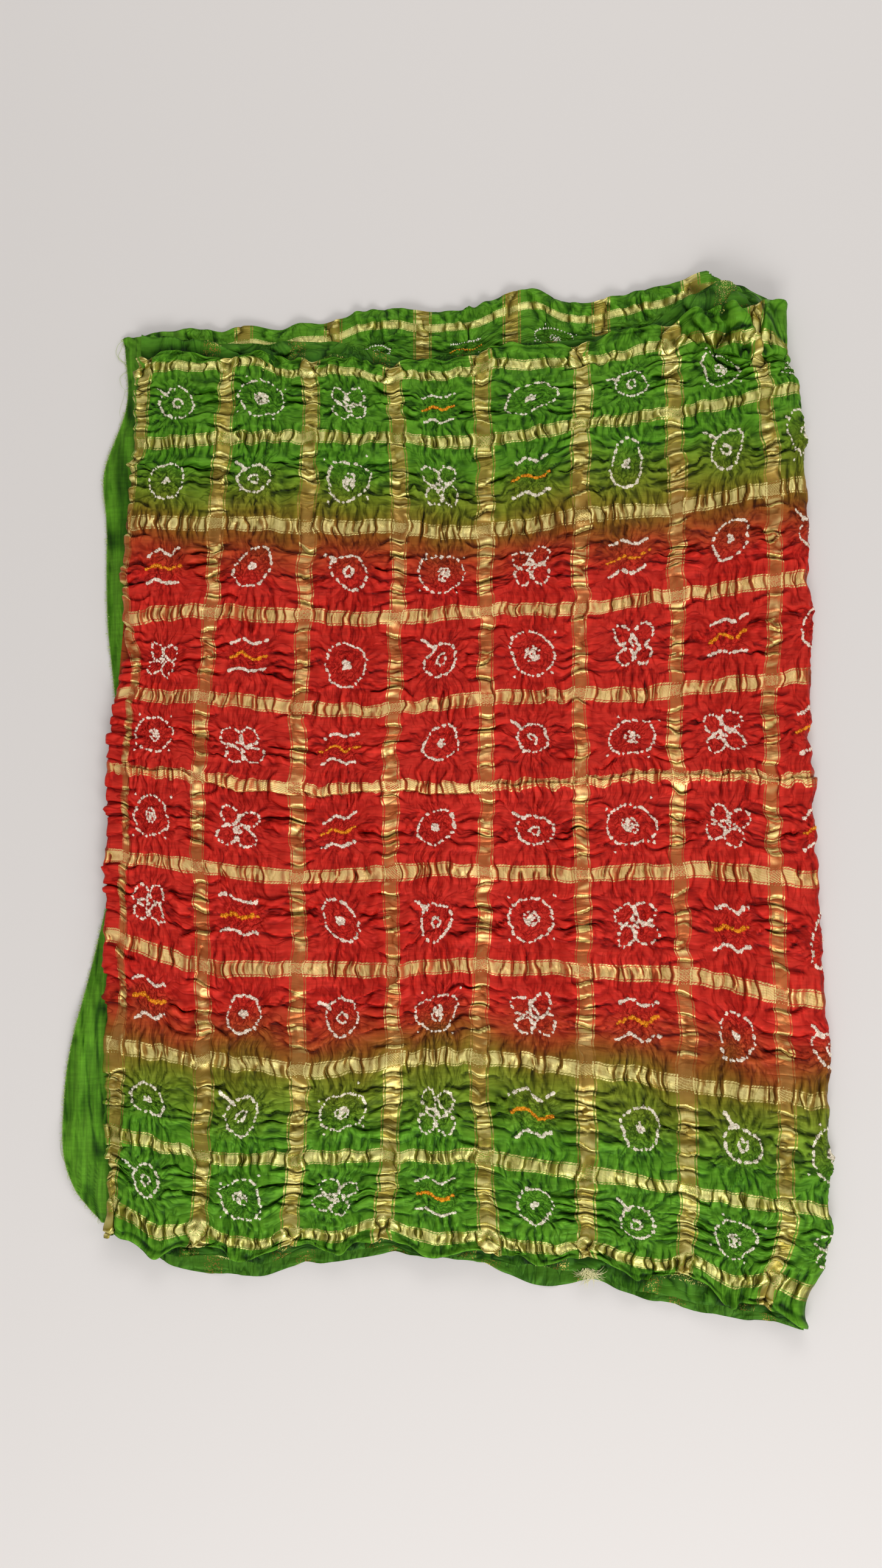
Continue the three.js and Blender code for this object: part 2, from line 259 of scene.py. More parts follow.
def chance_tuck(sheet, start, end, bend, rise, dip, soft, side=0, edge=1.0, lean=0.6):
    """A tuck with each measure a value or a pair to draw between, drawn in this order, and bent by up to bend
    either way. Without a side, it falls to either."""
    tuck(sheet, start, end, draw(-bend, bend), drawn(rise), drawn(dip), drawn(soft), side or either_side(),
         edge=drawn(edge), lean=drawn(lean), turn=draw(0, 1))


def gather_round(sheet, kind, x, y):
    """Tucks round one motif: long ones across the band to its right, shorter ones to its left, upright ones
    below it, short ones radiating from its ring, and crinkles inside it."""
    for _ in range(chance.integers(4, 7)):
        spread = draw(-19, 19)
        start = x + 0.9 * math.sqrt(RING_REACH**2 + 30 - spread**2), y + 0.85 * spread
        end = x + CHECK_WIDTH * draw(0.62, 0.84), y + spread * draw(0.5, 1.1) + draw(-5, 5)
        if chance.random() < 0.45:
            end = x + CHECK_WIDTH * draw(0.4, 0.6), end[1]
        chance_tuck(sheet, start, end, 0.06, (1.0, 2.9), (0.7, 1.6), (3.4, 6.5), lean=(0.3, 0.9))
    for _ in range(chance.integers(2, 5)):
        spread = draw(-19, 19)
        start = x - 0.9 * math.sqrt(RING_REACH**2 + 30 - spread**2), y + 0.85 * spread
        end = x - CHECK_WIDTH * draw(0.33, 0.5), y + spread * draw(0.7, 1.2) + draw(-5, 5)
        chance_tuck(sheet, start, end, 0.06, (0.9, 2.2), (0.6, 1.3), (3.0, 5.5), lean=(0.2, 0.7))
    for step in range(5):
        spread = -24 + 12 * step + draw(-4, 4)
        start = x + 0.7 * spread + draw(-2, 2), y + draw(14, 20)
        end = x + spread * draw(0.7, 1.0) + draw(-3, 3), y + CHECK_LENGTH * draw(0.6, 0.8)
        chance_tuck(sheet, start, end, 0.05, (0.3, 1.2), (0.3, 0.9), (3.0, 5.5), lean=(0.2, 0.6))
    for step in range(20):
        angle = 2 * math.pi * (step + draw(-0.35, 0.35)) / 20
        near, far = draw(13, 17), draw(21, 33)
        toward = math.cos(angle), math.sin(angle)
        start, end = ((x + reach * toward[0], y + reach * toward[1]) for reach in (near, far))
        chance_tuck(sheet, start, end, 0.08, (0.3, 1.0), (0.6, 1.4), (1.8, 3.0), lean=0.3)
    for _ in range(14):
        middle = x + draw(-13, 13), y + draw(-13, 13)
        angle = draw(0, math.pi) if kind != "waves" else draw(1.2, 1.9)
        half = draw(3, 7)
        toward = half * math.cos(angle), half * math.sin(angle)
        start, end = np.subtract(middle, toward), np.add(middle, toward)
        chance_tuck(sheet, start, end, 0.15, (0.4, 1.3), (0.3, 0.9), (1.6, 2.6), lean=0.3)


def blurred(grid, steps):
    """The grid with each value replaced by the mean of those around it, within that many steps each way."""
    for axis in (0, 1):
        padded = np.pad(grid, [(steps + 1, steps) if a == axis else (0, 0) for a in (0, 1)], mode="edge")
        total = np.cumsum(padded, axis=axis)
        width = 2 * steps + 1
        grid = (np.take(total, range(width, total.shape[axis]), axis)
                - np.take(total, range(total.shape[axis] - width), axis)) / width
    return grid


def relief_of(height):
    """How far each height is above the mean of those around it."""
    return height - blurred(blurred(height, 2), 2)


def pleat_bands(sheet, column, row):
    """Pleats across the band along a row between two columns, and creases over the band along a column
    between two rows: short tucks at uneven steps."""
    at = column * CHECK_WIDTH + draw(6, 12)
    while at < (column + 1) * CHECK_WIDTH - 5:
        middle = (row + draw(-0.02, 0.02)) * CHECK_LENGTH
        tilt = draw(-3, 3)
        start, end = (at - tilt, middle - draw(9, 19)), (at + tilt, middle + draw(9, 19))
        chance_tuck(sheet, start, end, 0.06, (0.5, 1.9), (0.4, 1.2), (2.4, 4.4), lean=(0.2, 0.8))
        at += draw(7, 17)
    at = row * CHECK_LENGTH + draw(10, 16)
    while at < (row + 1) * CHECK_LENGTH - 9:
        middle = (column + draw(-0.03, 0.03)) * CHECK_WIDTH
        tilt = draw(-4, 4)
        start, end = (middle - draw(11, 24), at - tilt), (middle + draw(11, 24), at + tilt)
        chance_tuck(sheet, start, end, 0.12, (1.3, 3.2), (0.8, 1.8), (5.0, 9.0), lean=(0.4, 1.0))
        at += draw(15, 31)


def crush(sheet, seed):
    """Soft rumples drawn out towards the knots, and small crinkles: sums of rumple() at several cells."""
    between_columns = np.cos(np.pi * sheet.column) ** 2 * np.sin(np.pi * sheet.row) ** 2
    between_rows = np.sin(np.pi * sheet.column) ** 2 * np.cos(np.pi * sheet.row) ** 2
    x = sheet.x_grid + 6 * rumple(seed, (30, 30), sheet.x_grid, sheet.y_grid)
    y = sheet.y_grid + 6 * rumple(seed + 1, (30, 30), sheet.x_grid, sheet.y_grid)
    sheet.height += 0.6 * between_columns * rumple(seed + 2, (34, 10), x, y)
    sheet.height += 0.5 * between_rows * rumple(seed + 3, (10, 28), x, y)
    sheet.height += 0.9 * rumple(seed + 4, (20, 16), x, y)
    sheet.height += 0.5 * (0.5 - 2 * np.abs(rumple(seed + 5, (13, 10), x, y)))
    sheet.height += 0.12 * (0.5 - 2 * np.abs(rumple(seed + 6, (6, 5), x, y)))


for kind, column, number, (x, y) in motifs:
    gather_round(top, kind, x, y)
    if column == 0:
        for _ in range(4):
            spread = draw(-18, 18)
            start, end = (x - 52, y + spread * 1.2), (x - 14, y + spread * 0.7)
            chance_tuck(top, start, end, 0.05, (0.9, 2.2), (0.6, 1.4), (3.5, 6))

for column in range(-1, 8):
    for row in range(11):
        pleat_bands(top, column, row)

# The band along row 5 is drawn into one long tuck
for column in range(8):
    left, right = (column - 0.1) * CHECK_WIDTH, (column + 1.1) * CHECK_WIDTH
    start, end = ((x, CHECK_LENGTH * (TUCK_ROW + draw(-0.01, 0.05))) for x in (left, right))
    chance_tuck(top, start, end, 0.02, (1.6, 2.6), (0.8, 1.6), 5.0, lean=1.2)
crush(top, 21)
# At each band the hems are pinched up
for column in range(8):
    at = column * CHECK_WIDTH
    for row, hem_row in ((0.08, FIRST_ROW), (9.92, LAST_ROW)):
        for side in (-1, 1):
            start, end = (at + 9 * side, row * CHECK_LENGTH), (at + draw(-4, 4), hem_row * CHECK_LENGTH)
            chance_tuck(top, start, end, 0.1, (2.0, 3.6), (1.4, 2.6), (4, 6), lean=(0.5, 1.5))
# The far right corner is crumpled into deep folds
for start, end, side in CORNER_TUCKS:
    chance_tuck(top, start, end, 0.12, 3.5, 3.0, 8.0, side, edge=1.8, lean=1.6)
# with rounded loops |sin| about its middle, and painted shade in the creases between them
from_corner = np.hypot(top.x_grid - CORNER_X, 1.1 * (top.y_grid - CORNER_Y))
from_corner = from_corner + 9 * rumple(29, (26, 26), top.x_grid, top.y_grid)
loops = np.abs(np.sin(np.pi * from_corner / LOOP_STEP))
by_middle = np.exp(-((from_corner / LOOP_REACH) ** 2))
top.height += LOOP_HEIGHT * by_middle * loops
top.line = np.maximum(top.line, by_middle * np.exp(-((loops / 0.2) ** 2)))

# The creases are sharpened, most of all in the two green parts, which are gathered tighter
tight = 1 - ease(1.7, 2.6, top.row) + ease(7.8, 8.7, top.row)
top.height += (0.05 + 0.2 * tight) * (top.height - blurred(top.height, 3))

# Both hems flare in short waves past the last band
flare = 1 - ease(FIRST_ROW, -0.08, top.row) + ease(10.06, LAST_ROW, top.row)
wave = np.sin(2 * np.pi * (top.x_grid / HEM_WAVE + 0.8 * rumple(28, (40, 60), top.x_grid, top.y_grid)))
top.height += flare * (HEM_WAVE_HEIGHT * wave + HEM_LIFT)
# and are rolled over along the edge, with painted shade in a broken line beside the roll
from_edge = CHECK_LENGTH * np.minimum(top.row - FIRST_ROW, LAST_ROW - top.row)
top.height += HEM_ROLL * np.exp(-(((from_edge - 1.5) / 2.0) ** 2))
broken = ease(-0.5, 0.4, rumple(30, (20, 60), top.x_grid, top.y_grid))
top.line = np.maximum(top.line, 0.8 * broken * np.exp(-(((from_edge - 5) / 1.0) ** 2)))


def wandering(seed, sheet, short_cell):
    """How far a point of a sheet strays from its lie: long swings, short ones, and a zigzag whose cells are
    short along the bands that it moves sideways."""
    x, y = sheet.x_grid, sheet.y_grid
    swing = 1.8 * rumple(seed, (32, 32), x, y) + 0.8 * rumple(seed + 1, (13, 10), x, y)
    return swing + 1.7 * rumple(seed + 2, short_cell, x, y)


# The sheet: its lie, the two round folds, the bunch at the corner, then the puckers along the sheet's normal
face_x, face_y = lie_of_face(np.clip(TOP_COLUMNS, LEFT_FOLD, RIGHT_FOLD), TOP_ROWS)
face_x += wandering(31, top, (62, 11))
face_y += wandering(35, top, (11, 62))
by_hem = 1 - ease(-0.1, 1.0, top.row) + ease(9.0, 10.1, top.row)
face_y += by_hem * 2.4 * np.sin(2 * np.pi * (top.column + 0.15))
face_y += by_hem * 3.6 * rumple(37, (34, 60), top.x_grid, top.y_grid)
face_y -= 2.4 * ease(10.02, LAST_ROW, top.row) * np.cos(4 * np.pi * top.column)
sag = ease(9.3, 10, top.row) - ease(10.02, LAST_ROW, top.row)
bulge = ease(0, 0.7, -top.row + 0.7) - ease(0.02, -FIRST_ROW, -top.row)
face_y += BAND_SAG * np.abs(np.sin(np.pi * top.column)) * (bulge - sag)
face_x += EDGE_INSET * np.exp(-(((top.row - 3.55) / 0.55) ** 2)) * (1 - ease(LEFT_FOLD, 0.8, top.column))
face_x += EDGE_BULGE * np.exp(-(((top.row - 9.35) / 0.5) ** 2)) * ease(5.5, RIGHT_FOLD, top.column)
face_x -= CORNER_CUT * ease(9.75, LAST_ROW, top.row) * ease(6.6, RIGHT_FOLD, top.column)
turn_right = np.pi * np.clip((TOP_COLUMNS - RIGHT_FOLD) / RIGHT_ARC, 0, 1)[None, :]
turn_left = np.pi * np.clip((LEFT_FOLD - TOP_COLUMNS) / LEFT_ARC, 0, 1)[None, :]
right_radius = (TOP_HEIGHT - SURFACE_HEIGHT) / 2
left_radius = (TOP_HEIGHT - SECOND_HEIGHT) / 2
out_x = np.sin(turn_right) - np.sin(turn_left)
up_z = np.cos(turn_right) * np.cos(turn_left)
top.height *= 0.1 + 0.9 * ease(-1, 0.2, up_z)
base_x = face_x + right_radius * np.sin(turn_right) - left_radius * np.sin(turn_left)
base_z = TOP_HEIGHT - right_radius * (1 - np.cos(turn_right)) - left_radius * (1 - np.cos(turn_left))
base_z = base_z + bunch(face_x, face_y) * ease(-1, 1, up_z)
top_points = np.stack([
    base_x + top.height * out_x + top.lean_x * up_z,
    face_y - top.lean_y,
    np.maximum(base_z + top.height * up_z - top.lean_x * out_x, 0.3),
], axis=-1)


def normals_of(points):
    """Unit normals of a grid of points: the step down the rows crossed with the step along the columns."""
    normals = np.cross(np.gradient(points, axis=0), np.gradient(points, axis=1))
    return normals / np.maximum(np.linalg.norm(normals, axis=-1, keepdims=True), 1e-9)


# The band at the left fold: between rows 4 and 8 it stands steep, a little in from the edge. Beyond them it
# runs along the fold, and goes half over it between rows 1 and 4. The weave's columns are shifted and drawn
# together there by a share of the distance.
steep = np.minimum(0.82 * top.column - 0.1, 0) + 0.02 * np.sin(8.2 * top.row)
steep = steep * ease(3.3, 4.1, top.row) * (1 - ease(7.5, 8.1, top.row)) * (1 - ease(0.1, 0.22, top.column))
over_fold = 0.02 + 0.1 * ease(1.1, 1.5, top.row) - 0.12 * ease(3.0, 3.8, top.row)
over_fold = (over_fold + 0.06 * ease(9.1, 9.6, top.row)) * (1 - ease(0.05, 0.35, top.column))
top_weave_columns = top.column + steep + over_fold

top_normals = normals_of(top_points)
# The relief mark sets the painted highlight on crests and painted shade in hollows, stronger in the tight
# green parts.
top_relief = (1 + 0.6 * tight) * relief_of(top.height)


def grid_mesh(name, points, columns, rows, normals=None, **marks):
    """A sheet through a grid of points in millimetres, its quads facing the side from which the rows run down
    and the columns to the right. The UV map "weave" holds column and row, and each mark is an attribute."""
    down, across = points.shape[:2]
    index = np.arange(down * across).reshape(down, across)
    quads = np.stack([index[:-1, :-1], index[1:, :-1], index[1:, 1:], index[:-1, 1:]], axis=-1).reshape(-1, 4)
    mesh = bpy.data.meshes.new(name)
    mesh.vertices.add(points.size // 3)
    mesh.vertices.foreach_set("co", (points * MM).astype(np.float32).ravel())
    mesh.loops.add(quads.size)
    mesh.loops.foreach_set("vertex_index", quads.astype(np.int32).ravel())
    mesh.polygons.add(len(quads))
    mesh.polygons.foreach_set("loop_start", np.arange(0, quads.size, 4, dtype=np.int32))
    mesh.update(calc_edges=True)
    mesh.shade_smooth()
    weave = np.stack([np.broadcast_to(place, (down, across)) for place in (columns, rows)], -1).reshape(-1, 2)
    mesh.uv_layers.new(name="weave").data.foreach_set("uv", weave[quads.ravel()].astype(np.float32).ravel())
    for mark, values in marks.items():
        attribute = mesh.attributes.new(mark, "FLOAT", "POINT")
        values = np.broadcast_to(values, (down, across)).astype(np.float32)
        attribute.data.foreach_set("value", values.ravel())
    if normals is not None:
        mesh.normals_split_custom_set_from_vertices(normals.reshape(-1, 3).tolist())
    piece = bpy.data.objects.new(name, mesh)
    bpy.context.scene.collection.objects.link(piece)
    return piece


def finish_piece(piece, material):
    piece.data.materials.append(material)
    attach(piece, "root")
    return piece


# Where the knots are tied, as places on the flat weave in millimetres from each motif's middle
WAVE_KNOTS = 15


def ring_of_knots(count, radius, squash=1.0, wobble=0.07, start=0.0):
    """Knots on a ring: radius (1 + wobble (sin(2 angle) + 0.6 sin(3 angle))), squashed along one way."""
    angle = start + 2 * np.pi * np.arange(count) / count
    uneven = np.sin(2 * angle + 3 * start) + 0.6 * np.sin(3 * angle + 5 * start)
    reach = radius * (1 + wobble * uneven)
    return np.stack([reach * np.cos(angle), squash * reach * np.sin(angle)], axis=-1)


def line_of_knots(count, width, wave_height, middle_y, slant):
    """Knots on a wavy line: wave_height sin(2 pi 1.5 t) about a slanting line."""
    t = np.linspace(-0.5, 0.5, count)
    return np.stack([width * t, middle_y + wave_height * np.sin(3 * np.pi * t) + slant * width * t], axis=-1)


def turned(points, angle):
    c, s = math.cos(angle), math.sin(angle)
    return points @ np.array([[c, s], [-s, c]])


def knots_of(kind):
    """Knots of one motif, and which of them are dyed yellow."""
    if kind == "waves":
        gap = draw(12.5, 15)
        lines = []
        for y in (-gap, 0, gap):
            lines.append(line_of_knots(WAVE_KNOTS, draw(28, 34), draw(1.2, 2.6), y, draw(-0.12, 0.12)))
        return np.concatenate(lines), np.repeat([0.0, 1.0, 0.0], WAVE_KNOTS)
    if kind == "big":
        outer = ring_of_knots(36, draw(18.5, 20.5), draw(0.84, 0.96), start=draw(0, 6))
        inner = [ring_of_knots(11, 5.6, start=draw(0, 6)), ring_of_knots(5, 2.2, start=draw(0, 6))]
        corners = ring_of_knots(4, 25, start=np.pi / 4)
        points = np.concatenate([outer, *inner, corners])
    elif kind == "four":
        middles = ring_of_knots(4, 11.8, wobble=0.0, start=np.pi / 4)
        points = np.concatenate([m + ring_of_knots(14, draw(6.8, 8.0), start=draw(0, 6)) for m in middles])
        points = np.concatenate([points, ring_of_knots(3, 2.0)])
    elif kind == "ring":
        outer = turned(ring_of_knots(33, draw(16.5, 18.5), draw(0.74, 0.92), start=draw(0, 6)), draw(0, 3))
        points = np.concatenate([outer, ring_of_knots(6, 3.0, start=draw(0, 6)), ring_of_knots(2, 0.8)])
    else:
        outer = turned(ring_of_knots(29, draw(14.5, 16), draw(0.74, 0.92), start=draw(0, 6)), draw(0, 3))
        tail = np.stack([np.linspace(-20, -9, 7), np.linspace(-16, -9, 7)], axis=-1)
        points = np.concatenate([outer, ring_of_knots(9, 4.0, start=draw(0, 6)), tail])
    points = turned(points, draw(-0.25, 0.25))
    return points, np.zeros(len(points))


knot_places, knot_yellow = [], []
for kind, column, number, (x, y) in motifs:
    places, yellow = knots_of(kind)
    places = places + chance.normal(0, 0.5, places.shape)
    knot_places.append(places + (x, y))
    knot_yellow.append(yellow)
knot_places = np.concatenate(knot_places)
knot_yellow = np.concatenate(knot_yellow)
on_sheet = (knot_places[:, 0] < top.x[-1] - 4) & (knot_places[:, 0] > top.x[0] + 4)
knot_places, knot_yellow = knot_places[on_sheet], knot_yellow[on_sheet]


def steps_along(sheet, places):
    """Places on the flat weave as steps along the sheet's grid, across and down."""
    return [(places[:, axis] - at[0]) / (at[1] - at[0]) for axis, at in enumerate((sheet.x, sheet.y))]


def halo_of(sheet, places):
    """The halo that the dye leaves out round each knot: exp(-(distance / HALO)^2), summed over the knots."""
    halo = np.zeros_like(sheet.height)
    step_x, step_y = sheet.x[1] - sheet.x[0], sheet.y[1] - sheet.y[0]
    knot_i, knot_j = steps_along(sheet, places)
    for di in (-1, 0, 1, 2):
        for dj in (-1, 0, 1, 2):
            i, j = np.floor(knot_i).astype(int) + di, np.floor(knot_j).astype(int) + dj
            away = ((i - knot_i) * step_x) ** 2 + ((j - knot_j) * step_y) ** 2
            inside = (i >= 0) & (j >= 0) & (i < halo.shape[1]) & (j < halo.shape[0])
            np.add.at(halo, (j[inside], i[inside]), np.exp(-away[inside] / HALO**2))
    return np.clip(halo, 0, 1)


resist = halo_of(top, knot_places[knot_yellow == 0])
yellow_resist = halo_of(top, knot_places[knot_yellow == 1])
knot_i, knot_j = steps_along(top, knot_places)


# Silk: satin with woven gold bands. The dye goes from green at the hems through olive and brown to red, and
# the gold thread of a band is painted bright where the band lies along the light and bronze where it turns
# away: a painted highlight and painted shade, set by the slope of the surface.
def srgb(red, green, blue):
    """The linear colour of a display colour in 0 to 255: ((s + 0.055) / 1.055)^2.4."""
    return (*(((np.array([red, green, blue]) / 255 + 0.055) / 1.055) ** 2.4).tolist(), 1.0)


def put(tree, kind, *given, **settings):
    """Adds a node with its settings, and links or sets its inputs in order; None leaves an input alone."""
    node = tree.nodes.new("ShaderNode" + kind)
    for name, value in settings.items():
        setattr(node, name, value)
    for socket, value in zip(node.inputs, given):
        if isinstance(value, bpy.types.NodeSocket):
            tree.links.new(value, socket)
        elif value is not None:
            socket.default_value = value
    return node


def maths(tree, operation, *given, clamp=False):
    return put(tree, "Math", *given, operation=operation, use_clamp=clamp).outputs[0]


def times(tree, first, second):
    return maths(tree, "MULTIPLY", first, second)


def plus(tree, first, second, clamp=False):
    return maths(tree, "ADD", first, second, clamp=clamp)


def less(tree, first, second):
    return maths(tree, "SUBTRACT", first, second)


def rest_of(tree, value):
    """1 less the value."""
    return less(tree, 1.0, value)


def size_of(tree, value):
    return maths(tree, "ABSOLUTE", value)


def scaled(tree, vector, scale):
    return put(tree, "VectorMath", vector, scale, operation="MULTIPLY").outputs[0]


def between(tree, low, high, value, start=0.0, end=1.0):
    """Goes smoothly from start at low to end at high."""
    return put(tree, "MapRange", value, low, high, start, end, interpolation_type="SMOOTHSTEP").outputs[0]


def blend(tree, share, first, second, way="MIX"):
    """A colour between two others; the five inputs between are those of numbers and vectors."""
    other_kinds = (None,) * 5
    return put(tree, "Mix", share, *other_kinds, first, second, data_type="RGBA", blend_type=way).outputs[2]


def mix(tree, share, first, second):
    return put(tree, "Mix", share, None, first, second, data_type="FLOAT").outputs[0]


def noise(tree, vector, scale, detail=2.0, roughness=0.5):
    node = put(tree, "TexNoise", vector)
    for name, value in (("Scale", scale), ("Detail", detail), ("Roughness", roughness)):
        node.inputs[name].default_value = value
    return node.outputs[0]


def ramp(tree, value, stops):
    """A colour ramp over stops of place and colour."""
    node = put(tree, "ValToRGB", value)
    elements = node.color_ramp.elements
    while len(elements) < len(stops):
        elements.new(0.5)
    for element, (place, colour) in zip(elements, stops):
        element.position = place
        element.color = colour
    return node.outputs[0]


def new_group(name, inputs, outputs):
    group = bpy.data.node_groups.new(name, "ShaderNodeTree")
    for socket, kind in inputs.items():
        group.interface.new_socket(socket, in_out="INPUT", socket_type=kind)
    for socket, kind in outputs.items():
        group.interface.new_socket(socket, in_out="OUTPUT", socket_type=kind)
    return group, group.nodes.new("NodeGroupInput"), group.nodes.new("NodeGroupOutput")


GREEN = srgb(88, 142, 31)
OLIVE = srgb(122, 130, 34)
BROWN = srgb(136, 88, 26)
RED_BROWN = srgb(176, 66, 32)
RED = srgb(200, 44, 32)
REVERSE_GREEN_AND_SHADE = srgb(34, 84, 16)
UNDYED = srgb(255, 241, 220)
YELLOW = srgb(244, 160, 22)
PAINTED_LIT_GOLD = srgb(255, 238, 158)
PAINTED_SHADED_GOLD = srgb(172, 122, 64)
DYE = (
    (-0.35, GREEN), (1.3, GREEN), (1.75, OLIVE), (2.1, BROWN), (2.35, RED_BROWN), (2.65, RED),
    (7.35, RED), (7.62, RED_BROWN), (7.85, BROWN), (8.15, OLIVE), (8.75, GREEN), (10.25, GREEN),
)
dye, came, goes = new_group("dye", {"Row": "NodeSocketFloat"}, {"Colour": "NodeSocketColor"})
cloth_place = put(dye, "TexCoord").outputs["Object"]
drift = times(dye, less(dye, noise(dye, cloth_place, 16.0, 3.0), 0.5), 0.55)
row_share = put(dye, "MapRange", plus(dye, came.outputs[0], drift), -0.5, 10.5, 0.0, 1.0).outputs[0]
shade = ramp(dye, row_share, [((row + 0.5) / 11, colour) for row, colour in DYE])
dye.links.new(shade, goes.inputs[0])

# Fine crinkles that the knots leave in the silk: thin creases where a drawn-out noise passes its middle
# value, radiating from each motif, level between motifs side by side, upright between those one above another
# Their height bumps the silk, and the crease output is painted shade along each thin crease.
crinkle, came, goes = new_group(
    "crinkle",
    {"Column": "NodeSocketFloat", "Row": "NodeSocketFloat"},
    {"Height": "NodeSocketFloat", "Crease": "NodeSocketFloat"},
)
column, row = came.outputs[0], came.outputs[1]
check = maths(crinkle, "FLOOR", column)
shift = maths(crinkle, "MINIMUM", maths(crinkle, "MULTIPLY_ADD", check, 0.033, -0.1), 0.02)
from_x = less(crinkle, less(crinkle, maths(crinkle, "FRACT", column), 0.5), shift)
from_x = times(crinkle, from_x, CHECK_WIDTH)
from_y = times(crinkle, less(crinkle, maths(crinkle, "FRACT", row), 0.5), CHECK_LENGTH)
from_motif = put(crinkle, "CombineXYZ", from_x, from_y, 0.0).outputs[0]
reach = put(crinkle, "VectorMath", from_motif, operation="LENGTH").outputs["Value"]
bearing = maths(crinkle, "ARCTAN2", from_y, from_x)
key = maths(crinkle, "MULTIPLY_ADD", maths(crinkle, "FLOOR", row), 3.7, times(crinkle, check, 7.3))
along_x = times(crinkle, column, CHECK_WIDTH)
along_y = times(crinkle, row, CHECK_LENGTH)
beside = between(crinkle, 17.0, 26.0, size_of(crinkle, from_x))
below = between(crinkle, 15.0, 24.0, size_of(crinkle, from_y))
clear_of_below = rest_of(crinkle, between(crinkle, 20.0, 30.0, size_of(crinkle, from_y)))
clear_of_beside = rest_of(crinkle, between(crinkle, 24.0, 34.0, size_of(crinkle, from_x)))
near_ring = times(crinkle, between(crinkle, 10.0, 17.0, reach),
                  rest_of(crinkle, between(crinkle, 22.0, 36.0, reach)))
inside = rest_of(crinkle, between(crinkle, 12.0, 20.0, reach))
creases, heights = [], []
for x, y, scale_x, scale_y, start, share, width in (
    (bearing, reach, 2.6, 0.03, key, near_ring, 0.07),
    (along_x, along_y, 0.028, 0.11, 0.0, times(crinkle, times(crinkle, beside, clear_of_below), 0.9), 0.04),
    (along_x, along_y, 0.13, 0.035, 5.0, times(crinkle, times(crinkle, below, clear_of_beside), 0.8), 0.04),
    (along_x, along_y, 0.2, 0.2, 9.0, inside, 0.09),
):
    x, y = times(crinkle, x, scale_x), times(crinkle, y, scale_y)
    vector = put(crinkle, "CombineXYZ", x, y, start).outputs[0]
    off_middle = size_of(crinkle, less(crinkle, noise(crinkle, vector, 1.0, 2.0, 0.45), 0.5))
    creases.append(times(crinkle, share, rest_of(crinkle, between(crinkle, 0.0, width, off_middle))))
    heights.append(times(crinkle, share, maths(crinkle, "MINIMUM", off_middle, 0.16)))
for values, socket in ((heights, goes.inputs[0]), (creases, goes.inputs[1])):
    total = values[0]
    for value in values[1:]:
        total = maths(crinkle, "ADD" if values is heights else "MAXIMUM", total, value)
    crinkle.links.new(total, socket)

# The gold bands: their share of gold thread, how raised they are, and which way their thread runs
BAND_CENTRE, BAND_GAP, BAND_EDGE = 6.1, 7.1, 8.4
CORD_CENTRE, CORD_GAP, CORD_EDGE = 4.5, 5.1, 6.3
SOFT_EDGE = 0.35
bands, came, goes = new_group(
    "gold bands",
    {"Column": "NodeSocketFloat", "Row": "NodeSocketFloat"},
    {"Gold": "NodeSocketFloat", "Raised": "NodeSocketFloat", "Hem to hem": "NodeSocketFloat"},
)
column, row = came.outputs[0], came.outputs[1]
along_x = times(bands, column, CHECK_WIDTH)
along_y = times(bands, row, CHECK_LENGTH)
weave_mm = put(bands, "CombineXYZ", along_x, along_y, 0.0).outputs[0]
stray = times(bands, less(bands, noise(bands, weave_mm, 0.25), 0.5), 1.2)
from_column = times(bands, maths(bands, "PINGPONG", column, 0.5), CHECK_WIDTH)
from_column = plus(bands, from_column, stray)
# The bands from hem to hem are drawn narrower in the red middle
off_middle = size_of(bands, less(bands, row, 5.0))
from_column = times(bands, from_column, between(bands, 1.8, 3.4, off_middle, 1.24, 1.0))
from_row = times(bands, maths(bands, "PINGPONG", row, 0.5), CHECK_LENGTH)
from_row = plus(bands, from_row, stray)
by_row_five = rest_of(bands, between(bands, 0.1, 0.3, off_middle))
folded = between(bands, 0.4, 0.6, noise(bands, put(bands, "CombineXYZ", along_x, 0.0, 0.0).outputs[0], 0.06))
folded = times(bands, by_row_five, folded)
from_row = times(bands, from_row, maths(bands, "MULTIPLY_ADD", folded, 0.6, 1.0))


def within(distance, edge):
    """1 inside the edge and 0 outside it."""
    return rest_of(bands, between(bands, edge - SOFT_EDGE, edge + SOFT_EDGE, distance))


# Hem to hem: a satin centre streaked along its thread, and a bright line each side of it
streak = noise(bands, scaled(bands, weave_mm, (2.6, 0.12, 1.0)), 1.0, 2.0)
centre = times(bands, within(from_column, BAND_CENTRE), between(bands, -0.1, 0.55, streak))
sides = less(bands, within(from_column, BAND_EDGE), within(from_column, BAND_GAP))
hem_to_hem = maths(bands, "MAXIMUM", centre, times(bands, sides, 0.8), clamp=True)
# Along the cloth: slanting ribs, and a twisted line of short stitches each side of them
slanted = plus(bands, times(bands, along_y, 5.9), times(bands, along_x, 1.9))
ribs = between(bands, -0.6, 0.5, maths(bands, "SINE", slanted))
stitches = maths(bands, "SINE", times(bands, plus(bands, along_x, along_y), 2.5))
stitches = between(bands, -0.7, 0.2, stitches)
cord = times(bands, within(from_row, CORD_CENTRE), maths(bands, "MULTIPLY_ADD", ribs, 0.5, 0.5))
twist = less(bands, within(from_row, CORD_EDGE), within(from_row, CORD_GAP))
twist = times(bands, twist, maths(bands, "MULTIPLY_ADD", stitches, 0.55, 0.35))
along_cloth = maths(bands, "MAXIMUM", cord, twist, clamp=True)
